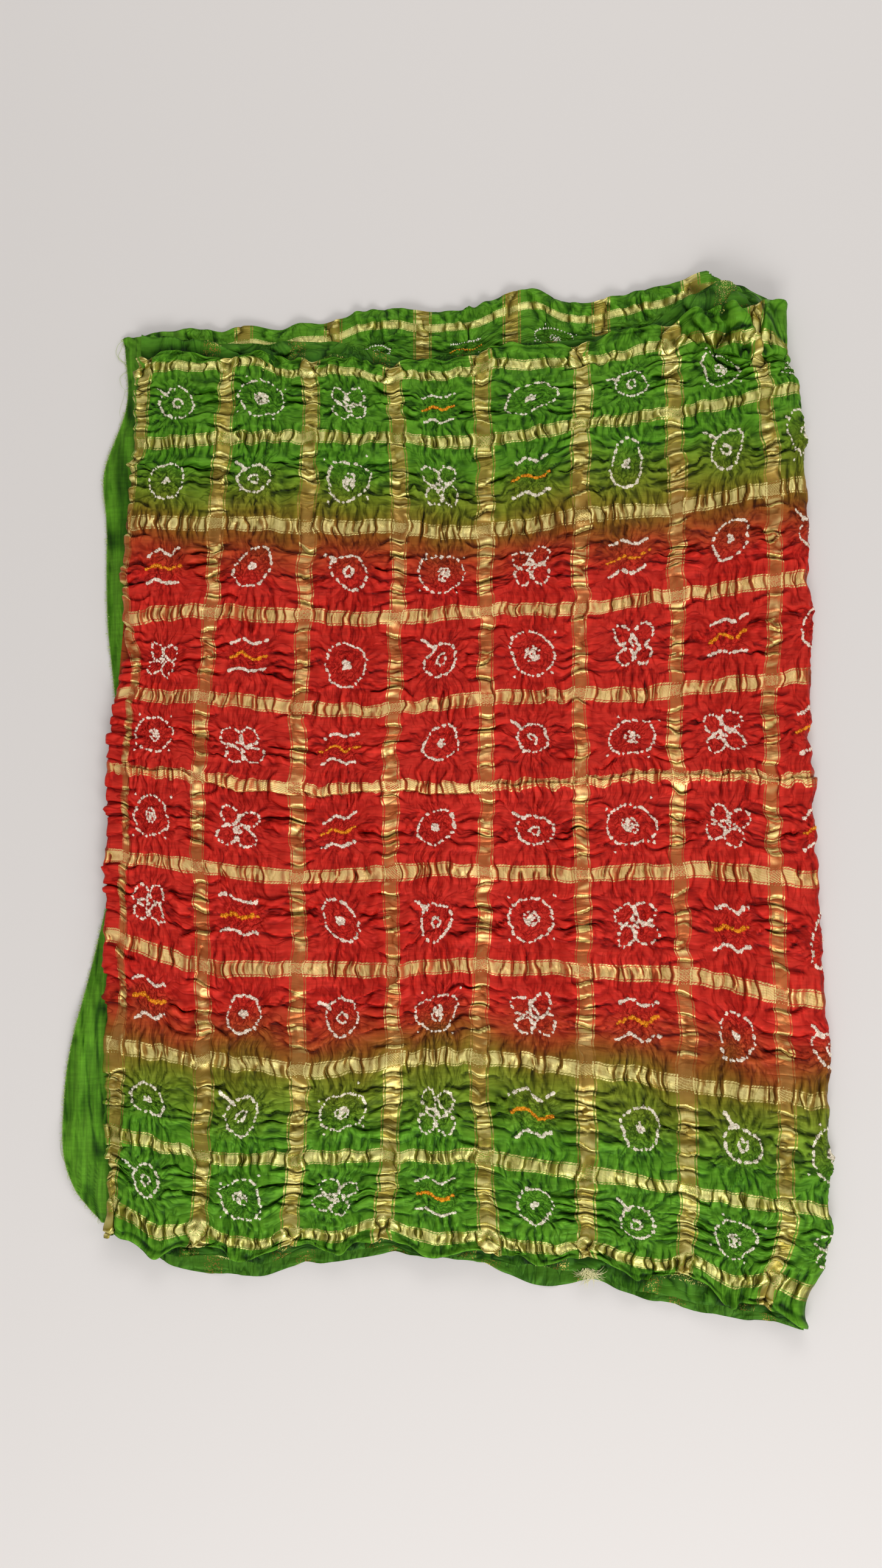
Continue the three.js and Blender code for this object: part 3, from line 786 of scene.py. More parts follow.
# Where two bands cross the gold is speckled
crossing = times(bands, within(from_column, BAND_EDGE), within(from_row, CORD_EDGE))
speckle = between(bands, 0.36, 0.5, noise(bands, weave_mm, 0.95, 1.0))
either = maths(bands, "MAXIMUM", hem_to_hem, along_cloth)
gold_share = mix(bands, crossing, either, maths(bands, "MULTIPLY_ADD", speckle, 0.7, 0.3))
bands.links.new(gold_share, goes.inputs[0])
bands.links.new(gold_share, goes.inputs[1])
bands.links.new(maths(bands, "GREATER_THAN", hem_to_hem, along_cloth), goes.inputs[2])

silk = bpy.data.materials.new("silk")
silk.use_nodes = True
tree = silk.node_tree
tree.nodes.clear()
weave = put(tree, "SeparateXYZ", put(tree, "UVMap", uv_map="weave").outputs[0]).outputs
weave_column, weave_row = weave[0], weave[1]


def mark(name):
    return put(tree, "Attribute", attribute_name=name).outputs["Fac"]


def grey(tree, value):
    return put(tree, "CombineXYZ", value, value, value).outputs[0]


plain, reverse, relief = mark("plain"), mark("reverse"), mark("relief")
# The line mark is painted shade: under the tucks, beside the rolled hems, under the top layer's hems and in
# the creases of the crumpled corner and of the frayed ends.
halo, line_shade = mark("resist"), mark("line")
ground = put(tree, "Group", weave_row, node_tree=dye).outputs[0]
ground = blend(tree, plain, ground, GREEN)
# The reverse is a darker green, partly its own colour and partly painted shade under the layers above it.
ground = blend(tree, times(tree, reverse, 0.45), ground, REVERSE_GREEN_AND_SHADE)
cloth_place = put(tree, "TexCoord").outputs["Object"]
mottle = noise(tree, cloth_place, 80.0, 6.0, 0.75)
slub = noise(tree, scaled(tree, cloth_place, (60.0, 500.0, 60.0)), 1.0)
shimmer = put(tree, "MapRange", plus(tree, mottle, slub), 0.65, 1.35, 0.8, 1.2).outputs[0]
ground = blend(tree, 1.0, ground, grey(tree, shimmer), "MULTIPLY")
along_end = noise(tree, scaled(tree, cloth_place, (300.0, 22.0, 300.0)), 1.0, 3.0, 0.6)
streaked = put(tree, "MapRange", along_end, 0.32, 0.68, 0.66, 1.26).outputs[0]
ground = blend(tree, plain, ground, grey(tree, streaked), "MULTIPLY")
crumple = noise(tree, cloth_place, 520.0, 2.0, 0.6)
ragged = maths(tree, "MULTIPLY_ADD", crumple, 1.3, -0.65)
undyed = between(tree, 0.48, 0.62, plus(tree, halo, ragged))
ground = blend(tree, times(tree, undyed, 0.88), ground, UNDYED)
yellow = between(tree, 0.42, 0.6, plus(tree, mark("yellow_resist"), ragged))
ground = blend(tree, times(tree, yellow, 0.85), ground, YELLOW)
gold = put(tree, "Group", weave_column, weave_row, node_tree=bands)
specks = between(tree, 0.56, 0.66, noise(tree, cloth_place, 900.0, 0.0))
gold_share = times(tree, gold.outputs[0], rest_of(tree, plain))
gold_share = times(tree, gold_share, mix(tree, reverse, 1.0, specks))
# Painted highlight and shade on the gold, by the surface's own slope: the thread is painted pale gold where
# it lies along the light and bronze where it turns away.
lie = put(tree, "SeparateXYZ", put(tree, "NewGeometry").outputs["Normal"]).outputs
tips_y = between(tree, 0.12, 0.62, size_of(tree, lie[1]))
lies_x = rest_of(tree, between(tree, 0.08, 0.42, size_of(tree, lie[0])))
lit = mix(tree, gold.outputs[2], lies_x, tips_y)
thread = blend(tree, lit, blend(tree, 0.38, PAINTED_SHADED_GOLD, ground), blend(tree, 0.12, PAINTED_LIT_GOLD, ground))
colour = blend(tree, gold_share, ground, thread)
folds = put(tree, "Group", weave_column, weave_row, node_tree=crinkle)
knotted = rest_of(tree, plain)
crinkle_shade = times(tree, folds.outputs[1], knotted)
crinkle_height = times(tree, folds.outputs[0], knotted)
# Painted light and shade: the relief mark paints a highlight on crests and shade in hollows, the crinkle and
# line marks add painted shade, and the shade also deepens the colour through the gamma.
crest = put(tree, "MapRange", relief, 0.0, 0.9, 0.0, 0.22).outputs[0]
crease_shade = put(tree, "MapRange", relief, -1.2, 0.0, 0.45, 0.0).outputs[0]
crease_shade = plus(tree, crease_shade, times(tree, crinkle_shade, 0.3), clamp=True)
crease_shade = plus(tree, crease_shade, times(tree, line_shade, 0.5), clamp=True)
colour = put(tree, "Gamma", colour, maths(tree, "MULTIPLY_ADD", crease_shade, 0.7, 1.0)).outputs[0]
deep = less(tree, plus(tree, 1.0, crest), times(tree, crease_shade, 0.9))
colour = blend(tree, 1.0, colour, grey(tree, deep), "MULTIPLY")
fine = noise(tree, scaled(tree, cloth_place, (900.0, 2600.0, 900.0)), 1.0)
weave_bump = put(tree, "Bump", 0.25, 0.0004)
tree.links.new(maths(tree, "MULTIPLY_ADD", gold.outputs[1], 0.8, times(tree, fine, 0.35)),
               weave_bump.inputs["Height"])
bump = put(tree, "Bump", 1.0, 0.006)
tree.links.new(maths(tree, "MULTIPLY_ADD", times(tree, undyed, crumple), 0.12, crinkle_height),
               bump.inputs["Height"])
tree.links.new(weave_bump.outputs[0], bump.inputs["Normal"])
shader = put(tree, "BsdfPrincipled")
shader.inputs["Specular IOR Level"].default_value = 0.15
shader.inputs["Anisotropic"].default_value = 0.55
tree.links.new(colour, shader.inputs["Base Color"])
tree.links.new(maths(tree, "MULTIPLY_ADD", gold_share, 0.25, 0.28), shader.inputs["Metallic"])
tree.links.new(maths(tree, "MULTIPLY_ADD", gold_share, -0.2, 0.56), shader.inputs["Roughness"])
tree.links.new(bump.outputs[0], shader.inputs["Normal"])
tree.links.new(shader.outputs[0], put(tree, "OutputMaterial").inputs[0])

STRIPS = 4
cuts = np.linspace(0, len(TOP_COLUMNS) - 1, STRIPS + 1).astype(int)
for number, (first, last) in enumerate(zip(cuts[:-1], cuts[1:]), start=1):
    part = slice(first, last + 1)
    strip = grid_mesh(f"top_layer_{number}", top_points[:, part], top_weave_columns[:, part], top.row,
                      top_normals[:, part], relief=top_relief[:, part], resist=resist[:, part],
                      yellow_resist=yellow_resist[:, part], line=top.line[:, part])
    finish_piece(strip, silk)
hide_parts("cloth")

# Knots
# Each dot of the bandhani is a pinch of silk that was tied off before the dye, so it is undyed, and it stays
# drawn up in a small peak with a dimple. Most are white, and the middle one of three waves is yellow.
KNOT_RADIUS = 1.6
KNOT_HEIGHT = 0.95
KNOT_SIDES = 6
KNOT_WAIST = 0.6
KNOT_WHITE = srgb(255, 247, 230)
KNOT_YELLOW = srgb(246, 158, 14)
DIMPLE_BROWN = srgb(120, 84, 56)


def on_grid(grid, i, j):
    """The grid's value at a place between its columns (i) and rows (j), blended from the four around it."""
    i = np.clip(i, 0, grid.shape[1] - 1.001)
    j = np.clip(j, 0, grid.shape[0] - 1.001)
    i0, j0 = i.astype(int), j.astype(int)
    u, v = (i - i0)[:, None], (j - j0)[:, None]
    upper = grid[j0, i0] * (1 - u) + grid[j0, i0 + 1] * u
    return upper * (1 - v) + (grid[j0 + 1, i0] * (1 - u) + grid[j0 + 1, i0 + 1] * u) * v


def knot_shape():
    """Points of one knot, in knot radii: rings at the foot, the shoulder and the lip, and a sunk middle. Each
    ring is cos and sin of even angles times its radius, every other point drawn in to a waist. Also the
    faces, and how deep in the dimple each point is."""
    angle = 2 * np.pi * np.arange(KNOT_SIDES) / KNOT_SIDES
    drawn_in = np.where(np.arange(KNOT_SIDES) % 2 == 0, 1.0, KNOT_WAIST)
    points, depth = [], []
    for radius, level, sunk in ((1.0, -0.25, 0.0), (0.8, 0.6, 0.0), (0.34, 1.0, 0.3)):
        points.append(np.stack([radius * drawn_in * np.cos(angle), radius * drawn_in * np.sin(angle),
                                level * drawn_in], -1))
        depth.append(np.full(KNOT_SIDES, sunk))
    points.append(np.array([[0, 0, 0.6]]))
    depth.append(np.array([1.0]))
    here, after = np.arange(KNOT_SIDES), (np.arange(KNOT_SIDES) + 1) % KNOT_SIDES
    faces = []
    for ring in (0, 1):
        a, b = ring * KNOT_SIDES, (ring + 1) * KNOT_SIDES
        faces.append(np.stack([a + here, a + after, b + after], -1))
        faces.append(np.stack([a + here, b + after, b + here], -1))
    lip = 2 * KNOT_SIDES
    faces.append(np.stack([lip + here, lip + after, np.full(KNOT_SIDES, 3 * KNOT_SIDES)], -1))
    return np.concatenate(points), np.concatenate(faces), np.concatenate(depth)


def triangle_mesh(name, points, triangles, places=None, **marks):
    mesh = bpy.data.meshes.new(name)
    mesh.vertices.add(len(points))
    mesh.vertices.foreach_set("co", (points * MM).astype(np.float32).ravel())
    mesh.loops.add(triangles.size)
    mesh.loops.foreach_set("vertex_index", triangles.astype(np.int32).ravel())
    mesh.polygons.add(len(triangles))
    mesh.polygons.foreach_set("loop_start", np.arange(0, triangles.size, 3, dtype=np.int32))
    mesh.update(calc_edges=True)
    mesh.shade_smooth()
    if places is not None:
        mesh.uv_layers.new(name="weave").data.foreach_set(
            "uv", places[triangles.ravel()].astype(np.float32).ravel())
    for mark_name, values in marks.items():
        attribute = mesh.attributes.new(mark_name, "FLOAT", "POINT")
        attribute.data.foreach_set("value", values.astype(np.float32).ravel())
    piece = bpy.data.objects.new(name, mesh)
    bpy.context.scene.collection.objects.link(piece)
    return piece


def tie_knots(name, points, normals, knot_i, knot_j, places, yellow):
    """One small peak at each knot, along the sheet's normal there, turned, sized and squashed by chance."""
    shape, faces, dimple = knot_shape()
    foot = on_grid(points, knot_i, knot_j)
    up = on_grid(normals, knot_i, knot_j)
    up /= np.linalg.norm(up, axis=1, keepdims=True)
    side = np.cross(up, (0.0, 1.0, 0.0))
    side /= np.linalg.norm(side, axis=1, keepdims=True)
    other = np.cross(up, side)
    count, many = len(foot), len(shape)
    angle = chance.uniform(0, 2 * np.pi, count)[:, None]
    first_axis = side * np.cos(angle) + other * np.sin(angle)
    second_axis = other * np.cos(angle) - side * np.sin(angle)
    size = chance.uniform(0.55, 1.15, (count, 1, 1))
    squash = chance.uniform(0.45, 0.95, (count, 1, 1))
    peaks = foot[:, None] + size * (
        KNOT_RADIUS * shape[None, :, :1] * first_axis[:, None]
        + KNOT_RADIUS * squash * shape[None, :, 1:2] * second_axis[:, None]
        + KNOT_HEIGHT * shape[None, :, 2:] * up[:, None])
    triangles = (faces[None] + many * np.arange(count)[:, None, None]).reshape(-1, 3)
    weave_places = np.repeat(places / (CHECK_WIDTH, CHECK_LENGTH), many, axis=0)
    dimple = (chance.uniform(0, 1, (count, 1)) * dimple).ravel()
    stain = np.repeat(chance.uniform(0, 1, count), many)
    return triangle_mesh(name, peaks.reshape(-1, 3), triangles, weave_places, dimple=dimple,
                         yellow=np.repeat(yellow, many), stain=stain)


knot_silk = bpy.data.materials.new("knot_silk")
knot_silk.use_nodes = True
tree = knot_silk.node_tree
tree.nodes.clear()
weave = put(tree, "SeparateXYZ", put(tree, "UVMap", uv_map="weave").outputs[0]).outputs
ground = put(tree, "Group", weave[1], node_tree=dye).outputs[0]
stained = maths(tree, "MULTIPLY_ADD", mark("stain"), 0.26, 0.07)
white = blend(tree, stained, KNOT_WHITE, ground)
tips = blend(tree, mark("yellow"), white, KNOT_YELLOW)
cloth_place = put(tree, "TexCoord").outputs["Object"]
spots = put(tree, "MapRange", noise(tree, cloth_place, 600.0, 2.0), 0.3, 0.7, 0.92, 1.2).outputs[0]
tips = blend(tree, 1.0, tips, grey(tree, spots), "MULTIPLY")
colour = blend(tree, times(tree, mark("dimple"), 0.25), tips, DIMPLE_BROWN)
shader = put(tree, "BsdfPrincipled")
shader.inputs["Roughness"].default_value = 0.6
tree.links.new(colour, shader.inputs["Base Color"])
tree.links.new(shader.outputs[0], put(tree, "OutputMaterial").inputs[0])


finish_piece(tie_knots("knots", top_points, top_normals, knot_i, knot_j, knot_places, knot_yellow), knot_silk)

# Second layer
# The silk turns over the left fold and runs back under the top layer with its reverse up. It shows only at
# the hems, as plain green satin where the gold thread comes through in specks, and ends round the inner fold.
HEM_SHADE = 6.0
HIDDEN_HEMS = {
    -300: (409, 413, 411, -385, -379, -384),
    -200: (402, 419, 413, -408, -404, -423),
    -120: (407, 424, 415, -400, -396, -412),
    -50: (390, 438, 425, -398, -392, -403),
    10: (394, 437, 428, -405, -398, -411),
    80: (402, 456, 442, -412, -405, -427),
    130: (408, 446, 440, -418, -410, -429),
    190: (420, 454, 444, -436, -425, -445),
    250: (452, 468, 455, -446, -436, -458),
    310: (440, 446, 440, -462, -455, -468),
}
LAYERS = {
    "second": (0, SECOND_HEIGHT, 2.2, 0.75),
    "third": (1, 5.0, 1.2, 0.5),
    "bottom": (2, SURFACE_HEIGHT, 0.0, 0.0),
}
SECOND_LENGTH, THIRD_LENGTH, BOTTOM_LENGTH = 800, 820, 810
HIDDEN_FAR_SCALLOP, HIDDEN_NEAR_SCALLOP = 1.5, 4.0
INNER_FOLD_INSET = 13.0
ROLL_HEM_TUCKS = (
    ((-292, 4), (-236, 5), -1), ((-240, 4), (-190, 13), -1), ((-194, 13), (-150, 8), -1),
    ((-176, 30), (-140, 6), 1), ((-142, 30), (-112, 16), 1), ((-118, 22), (-70, 10), -1),
)
SECOND_CORNER_TUCKS = ((215, 2), (262, 24), 1), ((240, -2), (272, 32), -1), ((266, 0), (256, 34), 1)
FREE_ENDS = {
    -381: (-302, -295), -351: (-325, -314), -315: (-336, -326), -250: (-335, -325), -180: (-320, -312),
    -114: (-305, -298), -60: (-294, -291), 0: (-292, -290), 75: (-300, -293), 150: (-309, -303),
    240: (-312, -305), 285: (-315, -308), 350: (-296, -292), 415: (-300, -299),
}
END_RIPPLE_FROM, END_RIPPLE_FULL, END_RIPPLE_LIFT, END_RIPPLE_LENGTH = -300, -326, 3.0, 120.0


def column_at(x):
    return np.interp(x, [-402, -284, 30, 322, 440], [-1.5, 0, 4, 7.45, 8.9])


def row_at(y):
    return np.interp(y, [-400, 0, 400], [LAST_ROW, 5, FIRST_ROW])


def lie_of_hidden(name, shares, downs):
    """Places of a hidden layer at shares of the way from its left edge to its right one, and from the far hem
    to the near one: straight between the curves through the tables of hems, folds and frayed ends."""
    number, level, lift, bunched = LAYERS[name]
    stations = np.array(list(HIDDEN_HEMS), float)
    table = np.array(list(HIDDEN_HEMS.values()), float)
    station = stations[0] + shares * (stations[-1] - stations[0])
    curve = curve_through(stations, station)
    scallop = np.abs(np.sin(np.pi * column_at(station)))
    far = curve @ table[:, number] + HIDDEN_FAR_SCALLOP * scallop
    near = curve @ table[:, number + 3] - HIDDEN_NEAR_SCALLOP * scallop
    y = far + (near - far) * downs[:, None]
    rows = FIRST_ROW + downs * (LAST_ROW - FIRST_ROW)
    outer = lie_of_face([RIGHT_FOLD], rows)[0] + MIDDLE_X
    if name == "second":
        left = lie_of_face([LEFT_FOLD], rows)[0] + MIDDLE_X
    else:
        ends = np.array(list(FREE_ENDS), float)
        x_ends = np.array(list(FREE_ENDS.values()), float)[:, number - 1]
        left = (curve_through(ends, np.clip(y, ends[0], ends[-1]).ravel()) @ x_ends).reshape(y.shape)
    right = outer if name == "bottom" else outer + right_radius - INNER_FOLD_INSET
    x = left + (right - left) * shares
    puckers = lift * pucker(column_at(x), row_at(y)) * ease(-0.1, 0.4, column_at(x))
    ripple = 0.5 + 0.5 * np.sin(2 * np.pi * y / END_RIPPLE_LENGTH)
    end_lift = END_RIPPLE_LIFT * ease(END_RIPPLE_FROM, END_RIPPLE_FULL, x) * ripple
    drape = (level - 1.2) * (1 - ease(0, 15, x - left)) if name == "third" else 0
    z = level + puckers + bunched * bunch(x - MIDDLE_X, y - MIDDLE_Y) + end_lift - drape
    return x - MIDDLE_X, y - MIDDLE_Y, z, far - MIDDLE_Y, near - MIDDLE_Y


def dense_at_hems(step, hem, middle_step, length):
    """Shares down a layer: short steps near both hems and long ones between."""
    edge = np.arange(0, hem, step)
    middle = np.linspace(hem, length - hem, int((length - 2 * hem) / middle_step))
    return np.concatenate([edge, middle, length - edge[::-1]]) / length


def hem_rumples(seed, x, y, far, near, reach=26.0):
    """The square of the nearness to a hem, 1 - distance / reach, and the heights of the soft folds that hang
    at the hems and grow with it."""
    nearness = np.maximum(np.clip(1 - (far - y) / reach, 0, 1), np.clip(1 - (y - near) / reach, 0, 1)) ** 2
    folds = 1.6 * np.sin(2 * np.pi * (x / 31 + 0.9 * rumple(seed, (50, 60), x, y)))
    return nearness, nearness * (folds + 1.2 * rumple(seed + 1, (16, 9), x, y))


def hidden_grid(name, shares, downs, seed):
    """Points of a hidden layer with its soft rumples, which rise to the layer above only at the hems."""
    x, y, z, far, near = lie_of_hidden(name, shares, downs)
    nearness, folds = hem_rumples(seed, x, y, far, near)
    z = z + folds + 0.35 * rumple(seed + 2, (22, 15), x, y) + 0.3
    outward = np.where(y > 0, 1.0, -1.0)
    y = y + outward * nearness * 3.0 * rumple(seed + 3, (26, 60), x, y)
    return x, y, np.maximum(z, 0.25)


def hem_sheet(x, length, downs, from_near=False):
    """A sheet to put tucks on, for a hidden layer: x is the place along its hem, y the distance from it."""
    distance = length * (1 - downs[::-1] if from_near else downs)
    sheet = SimpleNamespace(x=x, y=distance)
    sheet.height, sheet.lean_x, sheet.lean_y, sheet.line = np.zeros((4, len(distance), len(x)))
    return sheet


def hem_tucks(sheet, first, last, steps, depth, rise, soft):
    """Uneven soft folds that run in from a hem, between two places along it, at about that step."""
    at = first
    while at < last:
        slant = draw(-14, 14)
        start = at, draw(-4, 0.3 * depth)
        end = at + slant, start[1] + depth * draw(0.5, 1.0)
        tuck(sheet, start, end, draw(-0.15, 0.15), rise * draw(0.4, 1.2), rise * draw(0.3, 0.8),
             soft * draw(0.6, 1.3), either_side(), edge=draw(0.9, 1.6), lean=draw(0.3, 1.2), turn=draw(0, 1))
        at += steps * draw(0.6, 1.4)


def shade_of_hems(x, y):
    """Shade that the top layer's two hems leave on the layers under them: exp(-(distance / 6 mm)^2)."""
    beyond_far = y - np.interp(x, np.maximum.accumulate(face_x[0]), face_y[0])
    beyond_near = np.interp(x, np.maximum.accumulate(face_x[-1]), face_y[-1]) - y
    shade = np.exp(-((np.maximum(np.maximum(beyond_far, beyond_near), 0) / HEM_SHADE) ** 2))
    return shade * ease(-288, -276, x)


shares = np.linspace(0, 1, 240)
downs = dense_at_hems(1.4, 42, 14, SECOND_LENGTH)
x, y, z = hidden_grid("second", shares, downs, 51)
folds = hem_sheet(x[0], SECOND_LENGTH, downs)
hem_tucks(folds, -296, 250, 30, 28, 1.8, 8)
# Its far hem is rolled over at the left, with painted shade in a line under the roll
for start, end, side in ROLL_HEM_TUCKS:
    chance_tuck(folds, start, end, 0.1, 3.6, 2.2, 7.0, side, edge=1.2, lean=2.0)
for start, end, side in SECOND_CORNER_TUCKS:
    chance_tuck(folds, start, end, 0.1, 5.0, 4.0, 8.0, side, edge=1.6, lean=2.0)
shown = 1 - ease(26, 36, folds.y)[:, None]
x, y, z = x + shown * folds.lean_x, y - shown * folds.lean_y, z + shown * folds.height
second_line = shown * folds.line
second_relief = shown * relief_of(folds.height)
near_folds = hem_sheet(x[-1], SECOND_LENGTH, downs, from_near=True)
hem_tucks(near_folds, -290, 300, 15, 20, 2.0, 5)
shown = (1 - ease(18, 28, near_folds.y))[::-1, None]
x, y, z = (x + shown * near_folds.lean_x[::-1], y + shown * near_folds.lean_y[::-1],
           z + shown * near_folds.height[::-1])
second_relief += shown * relief_of(near_folds.height)[::-1]
second_line = np.maximum(second_line + shown * near_folds.line[::-1], shade_of_hems(x, y))
z = np.maximum(z, 0.4)
second_relief, second_line = (np.hstack([v, np.zeros((len(downs), 6))]) for v in (second_relief, second_line))
turn = np.pi * np.linspace(0, 1, 7)[1:]
inner_radius = (LAYERS["second"][1] - LAYERS["third"][1]) / 2
arc = [np.broadcast_to(v, (len(downs), len(turn))) for v in (
    x[:, -1:] + inner_radius * np.sin(turn), y[:, -1:], z[:, -1:] - inner_radius * (1 - np.cos(turn)))]
second_points = np.stack([np.hstack([x, arc[0]]), np.hstack([y, arc[1]]), np.hstack([z, arc[2]])], axis=-1)
second_columns = LEFT_FOLD - LEFT_ARC - np.concatenate([7.4 * shares, 7.4 + 0.02 * np.arange(1, 7)])
hidden_rows = (FIRST_ROW + downs * (LAST_ROW - FIRST_ROW))[:, None]
second = grid_mesh("second_layer", second_points, second_columns[None, :], hidden_rows, reverse=1.0,
                   relief=second_relief, line=second_line)
second = finish_piece(second, silk)

# Third layer
# Past the inner fold the silk comes back face up, to its frayed end at the left. Beyond the far hem of the
# top layer its own hem shows, with the gold band and the first row of knots drawn close together.
THIRD_GATHER, THIRD_GATHERED = 46.0, 62
THIRD_BAND_X = -25 - MIDDLE_X
PLAIN_END = 60.0
THIRD_CORNER_TUCKS = ((222, 0), (250, 30), -1), ((262, -2), (244, 26), 1), ((290, 3), (262, 30), -1)


def end_folds(seed, by_end, x, y):
    """Heights of the long soft folds that run along a frayed end, 3 min(|rumple|, 0.3) with smaller ones, and
    the painted shade in the creases between them, exp(-(rumple / 0.1)^2)."""
    long_folds = rumple(seed, (13, 130), x + 0.12 * y, y)
    small_folds = rumple(seed + 1, (8, 50), x - 0.1 * y, y)
    height = 3.0 * np.minimum(np.abs(long_folds), 0.3) + 1.2 * np.minimum(np.abs(small_folds), 0.3)
    crease_shade = np.maximum(np.exp(-((long_folds / 0.1) ** 2)), 0.5 * np.exp(-((small_folds / 0.1) ** 2)))
    return by_end * (height + 0.8 * rumple(seed + 2, (24, 40), x, y)), 0.8 * by_end * crease_shade


shares = np.concatenate([np.linspace(0, 0.11, 40)[:-1], np.linspace(0.11, 1, 250)])
downs = dense_at_hems(1.5, 56, 7.5, THIRD_LENGTH)
x, y, z = hidden_grid("third", shares, downs, 61)
far_hem = y[:1]
folds = hem_sheet(x[0], THIRD_LENGTH, downs)
hem_tucks(folds, -290, -100, 22, 14, 2.4, 7)
hem_tucks(folds, -100, 300, 13, 40, 2.0, 4.6)
hem_tucks(folds, -96, 250, 19, 18, 1.8, 4.2)
for _ in range(34):
    start = draw(-90, 230), draw(26, 46)
    end = start[0] + draw(14, 36), start[1] + draw(-7, 7)
    chance_tuck(folds, start, end, 0.1, (0.8, 2.2), (0.6, 1.6), (2.4, 4.2), lean=(0.3, 0.9))
for start, end, side in THIRD_CORNER_TUCKS:
    chance_tuck(folds, start, end, 0.1, 5.0, 4.0, 8.0, side, edge=1.6, lean=2.0)
shown = 1 - ease(44, 56, folds.y)[:, None]
x, y, z = x + shown * folds.lean_x, y - shown * folds.lean_y, z + shown * folds.height
third_relief = 1.4 * shown * relief_of(folds.height)
gathered = np.minimum(far_hem - y, THIRD_GATHERED)
beyond = np.maximum(far_hem - y - THIRD_GATHERED, 0)
third_rows = FIRST_ROW + gathered / THIRD_GATHER + beyond / CHECK_LENGTH
third_columns = (x - THIRD_BAND_X) / CHECK_WIDTH + 20
third_knot_places, third_knot_yellow = [], []
for number, kind in ((3, "tail"), (4, "waves"), (5, "big"), (6, "four")):
    places, yellow = knots_of(kind)
    middle_x = THIRD_BAND_X + (number - 3.5) * CHECK_WIDTH
    third_knot_places.append(places * (0.85, 0.5) + (middle_x, THIRD_GATHER * (0.5 - FIRST_ROW)))
    third_knot_yellow.append(yellow)
third_knot_places = np.concatenate(third_knot_places)
third_knot_yellow = np.concatenate(third_knot_yellow)
in_sight = third_knot_places[:, 1] < 52
third_knot_places, third_knot_yellow = third_knot_places[in_sight], third_knot_yellow[in_sight]
stretch = ease(-90, -70, x) * (1 - ease(214, 226, x)) * np.clip(1 - (far_hem - y) / 70, 0, 1) ** 0.5
motif_x = np.abs(np.mod((x - THIRD_BAND_X) / CHECK_WIDTH, 1) - 0.5) * CHECK_WIDTH
z = z + stretch * (0.9 * rumple(64, (6, 16), x, y) * (motif_x < 30) + 1.3 * rumple(65, (26, 5), x, y))
end_x = x[:, :1]
by_end = 1 - ease(PLAIN_END - 4, PLAIN_END, x - end_x)
end_height, end_crease_shade = end_folds(66, by_end, x, y)
z = z + end_height
third_relief += 1.2 * by_end * (z - blurred(z, 2))
third_points = np.stack([x, y, np.maximum(z, 0.5)], axis=-1)
third_line = np.maximum(shown * folds.line, shade_of_hems(x, y) * ease(-96, -84, x)) + end_crease_shade
third = grid_mesh("third_layer", third_points, third_columns, third_rows, plain=by_end,
                  relief=third_relief, line=third_line)
third = finish_piece(third, silk)
knot_j = np.interp(third_knot_places[:, 1], THIRD_LENGTH * downs, np.arange(len(downs)))
edge_x = x[knot_j.astype(int), 0]
knot_share = (third_knot_places[:, 0] - edge_x) / (x[knot_j.astype(int), -1] - edge_x)
knot_i = np.interp(knot_share, shares, np.arange(len(shares)))
third_weave = np.full_like(third_knot_places, 0.5 * CHECK_LENGTH)
third_knots = tie_knots("third_layer_knots", third_points, normals_of(third_points), knot_i, knot_j,
                        third_weave, third_knot_yellow)
finish_piece(third_knots, knot_silk)

# Bottom layer
# The top layer turns over the outer fold at the right and runs back along the surface with its reverse up, to
# the other frayed end at the left.
shares = np.concatenate([np.linspace(0, 0.09, 30)[:-1], np.linspace(0.09, 1, 170)])
downs = dense_at_hems(1.8, 40, 6, BOTTOM_LENGTH)
x, y, z = hidden_grid("bottom", shares, downs, 71)
end_x = x[:, :1]
by_end = 1 - ease(PLAIN_END - 4, PLAIN_END, x - end_x)
end_height, end_crease_shade = end_folds(76, by_end, x, y)
z = z + end_height
bottom_relief = 1.2 * by_end * (z - blurred(z, 2))
bottom_rows = (FIRST_ROW + downs * (LAST_ROW - FIRST_ROW))[:, None]
bottom_columns = RIGHT_FOLD + RIGHT_ARC + 7.5 * (1 - shares)[None, :]
bottom_points = np.stack([x, y, np.maximum(z, 0.25)], axis=-1)
bottom = grid_mesh("bottom_layer", bottom_points, bottom_columns, bottom_rows, plain=by_end, reverse=1.0,
                   relief=bottom_relief, line=end_crease_shade)
bottom = finish_piece(bottom, silk)

# Frayed ends and loose threads
# The ends are cut and left to fray, so a fringe of short crossing threads stands out of the one that shows,
# and a few long ones have worked loose. A tuft of pale thread ends comes out under the near hem.
LOOSE_RADIUS, FRAY_RADIUS, TUFT_RADIUS = 0.16, 0.2, 0.24
FRAY_STEP, FRAY_LENGTH = 0.7, 4.5
LOOSE_THREADS = (
    ((-299, 412), (-305, 407), (-307, 398), (-301, 391), (-296, 384), (-303, 376), (-301, 367), (-298, 362),
     (-303, 343), (-299, 335)),
    ((-300, 409), (-303, 401), (-305, 394), (-299, 389), (-295, 381), (-294, 374)),
    ((-323, -198), (-328, -209), (-331, -221), (-329, -230)),
    ((-331, -292), (-336, -303), (-339, -315), (-337, -326), (-332, -334), (-329, -344), (-324, -346)),
    ((-333, -293), (-335, -305), (-336, -318), (-334, -331)),
)
THREAD_STEPS = 28
TUFT_THREADS = 90
TUFT_X, TUFT_Y, TUFT_Z = 118, -417, 12.5


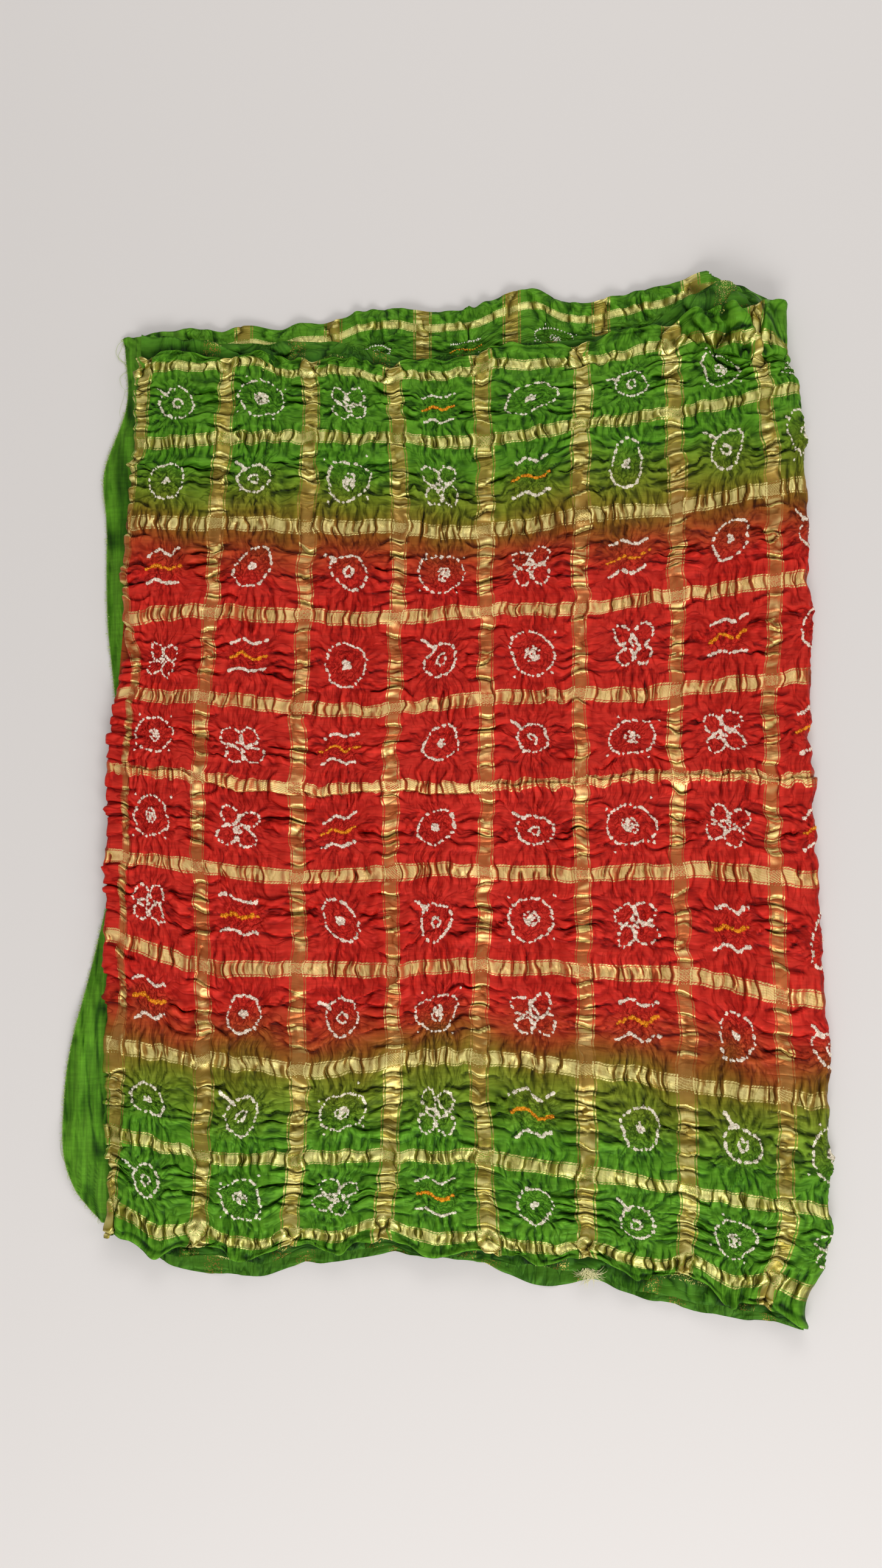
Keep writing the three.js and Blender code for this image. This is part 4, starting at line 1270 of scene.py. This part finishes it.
def thread_mesh(name, paths, radius):
    """Threads along paths (number, steps, 3): three-sided tubes that thin out at their far ends."""
    number, steps = paths.shape[:2]
    run = np.gradient(paths, axis=1)
    run /= np.maximum(np.linalg.norm(run, axis=-1, keepdims=True), 1e-6)
    side = np.cross(run, (0.3, 0.2, 1.0))
    side /= np.linalg.norm(side, axis=-1, keepdims=True)
    other = np.cross(run, side)
    thick = radius * (1 - np.linspace(0, 1, steps) ** 3)[None, :, None, None] + 0.02
    angle = 2 * np.pi * np.arange(3)[None, None, :, None] / 3
    outward = np.cos(angle) * side[:, :, None] + np.sin(angle) * other[:, :, None]
    points = paths[:, :, None] + thick * outward
    index = np.arange(number * steps * 3).reshape(number, steps, 3)
    here, there = index[:, :-1], index[:, 1:]
    corners = (here, np.roll(here, -1, axis=2), np.roll(there, -1, axis=2), there)
    first = np.stack([corners[0], corners[1], corners[2]], -1).reshape(-1, 3)
    second = np.stack([corners[0], corners[2], corners[3]], -1).reshape(-1, 3)
    return triangle_mesh(name, points.reshape(-1, 3), np.concatenate([first, second]))


def fray_paths(edge, length):
    """Short curved threads that stand out of an edge, each with its own aim: edge + reach (cos a, sin a)."""
    along = np.concatenate([[0], np.cumsum(np.linalg.norm(np.diff(edge, axis=0), axis=1))])
    stray = chance.uniform(-0.5, 0.5, int(math.ceil((along[-1] - 1) / FRAY_STEP)))
    at = np.arange(1, along[-1], FRAY_STEP) + stray
    root = np.stack([np.interp(at, along, edge[:, axis]) for axis in range(3)], axis=-1)
    aim = np.pi + chance.normal(0, 0.5, len(at))
    reach = length * chance.uniform(0.25, 1.0, len(at)) ** 1.6
    t = np.linspace(0, 1, 4)[None, :]
    curl = chance.normal(0, 0.8, len(at))[:, None] * t
    x = root[:, :1] + 0.8 + reach[:, None] * t * np.cos(aim[:, None] + curl)
    y = root[:, 1:2] + reach[:, None] * t * np.sin(aim[:, None] + curl)
    z = np.maximum(root[:, 2:] + 0.3 * t - 0.9 * t**2, 0.3)
    return np.stack([x, y, z], axis=-1)


frays = fray_paths(third_points[:, 0], FRAY_LENGTH)
loose, tuft = [], []
for places in LOOSE_THREADS:
    steps = np.linspace(0, len(places) - 1, THREAD_STEPS)
    x, y = (curve_through(range(len(places)), steps) @ np.array(places, float)).T
    z = 1.2 + 0.8 * np.sin(1.3 * steps)
    loose.append(np.stack([x - MIDDLE_X, y - MIDDLE_Y, z], axis=-1))
t = np.linspace(0, 1, THREAD_STEPS)
for _ in range(TUFT_THREADS):
    aim, reach = draw(-2.3, -0.8), draw(5, 16)
    bow = draw(-1.5, 1.5) * t
    x = TUFT_X + draw(-5, 5) + reach * t * np.cos(aim + bow)
    y = TUFT_Y + draw(-1, 2) + reach * t * np.sin(aim + bow)
    z = TUFT_Z + draw(0, 2) * np.sin(3 * t) - draw(0, 5) * t**2
    tuft.append(np.stack([x - MIDDLE_X, y - MIDDLE_Y, z], axis=-1))


def thread_silk(name, colour):
    material = bpy.data.materials.new(name)
    material.use_nodes = True
    material.node_tree.nodes["Principled BSDF"].inputs["Base Color"].default_value = colour
    material.node_tree.nodes["Principled BSDF"].inputs["Roughness"].default_value = 0.7
    return material


green_thread = thread_silk("green_thread", srgb(182, 202, 116))
pale_thread = thread_silk("pale_thread", srgb(232, 226, 172))
finish_piece(thread_mesh("frayed_end", frays, FRAY_RADIUS), green_thread)
finish_piece(thread_mesh("loose_threads", np.stack(loose), LOOSE_RADIUS), green_thread)
finish_piece(thread_mesh("tuft", np.stack(tuft), TUFT_RADIUS), pale_thread)

# Floor, light and camera
# A plain pale floor, broad soft lights beyond both hems, and the camera above the cloth, tilted a little.
FLOOR_HALF = 4000.0
CAMERA_HEIGHT, CAMERA_TILT, FOCAL_PIXELS = 1100.0, math.radians(5), 2022.0
AIM_X, AIM_Y = -4.8, 2.2
PICTURE_HEIGHT = 2576

corners = np.array([[[-1, 1], [1, 1]], [[-1, -1], [1, -1]]], float) * FLOOR_HALF
floor = grid_mesh("floor", np.concatenate([corners, np.zeros((2, 2, 1))], axis=-1), 0.0, 0.0)
pale = bpy.data.materials.new("pale_floor")
pale.use_nodes = True
pale.node_tree.nodes["Principled BSDF"].inputs["Base Color"].default_value = srgb(225, 220, 217)
pale.node_tree.nodes["Principled BSDF"].inputs["Roughness"].default_value = 0.85
floor.data.materials.append(pale)


def soft_light(name, place, aim, size, watts):
    lamp = bpy.data.lights.new(name, "AREA")
    lamp.shape = "RECTANGLE"
    lamp.size, lamp.size_y = size
    lamp.energy = watts
    light = bpy.data.objects.new(name, lamp)
    bpy.context.scene.collection.objects.link(light)
    light.location = place
    away = np.subtract(place, aim)
    light.rotation_euler = (math.atan2(math.hypot(away[0], away[1]), away[2]), 0,
                            math.atan2(away[0], -away[1]))
    return light


soft_light("window_far", (0.2, 1.9, 1.5), (0, 0, 0), (1.8, 0.8), 15)
soft_light("window_near", (0.2, -1.9, 1.5), (0, 0, 0), (1.8, 0.8), 32)
soft_light("side_fill", (2.0, -0.2, 1.6), (0, 0, 0), (1.0, 1.6), 6)
world = bpy.data.worlds.new("studio")
bpy.context.scene.world = world
world.use_nodes = True
world.node_tree.nodes["Background"].inputs["Color"].default_value = (1.0, 0.99, 0.97, 1)
world.node_tree.nodes["Background"].inputs["Strength"].default_value = 0.44

lens = bpy.data.cameras.new("camera")
lens.sensor_width = 36.0
lens.lens = lens.sensor_width * FOCAL_PIXELS / PICTURE_HEIGHT
camera = bpy.data.objects.new("camera", lens)
bpy.context.scene.collection.objects.link(camera)
camera.location = (
    AIM_X * MM,
    (AIM_Y - CAMERA_HEIGHT * math.sin(CAMERA_TILT)) * MM,
    CAMERA_HEIGHT * math.cos(CAMERA_TILT) * MM,
)
camera.rotation_euler = (CAMERA_TILT, 0, 0)
bpy.context.scene.camera = camera
bpy.context.scene.view_settings.view_transform = "Standard"
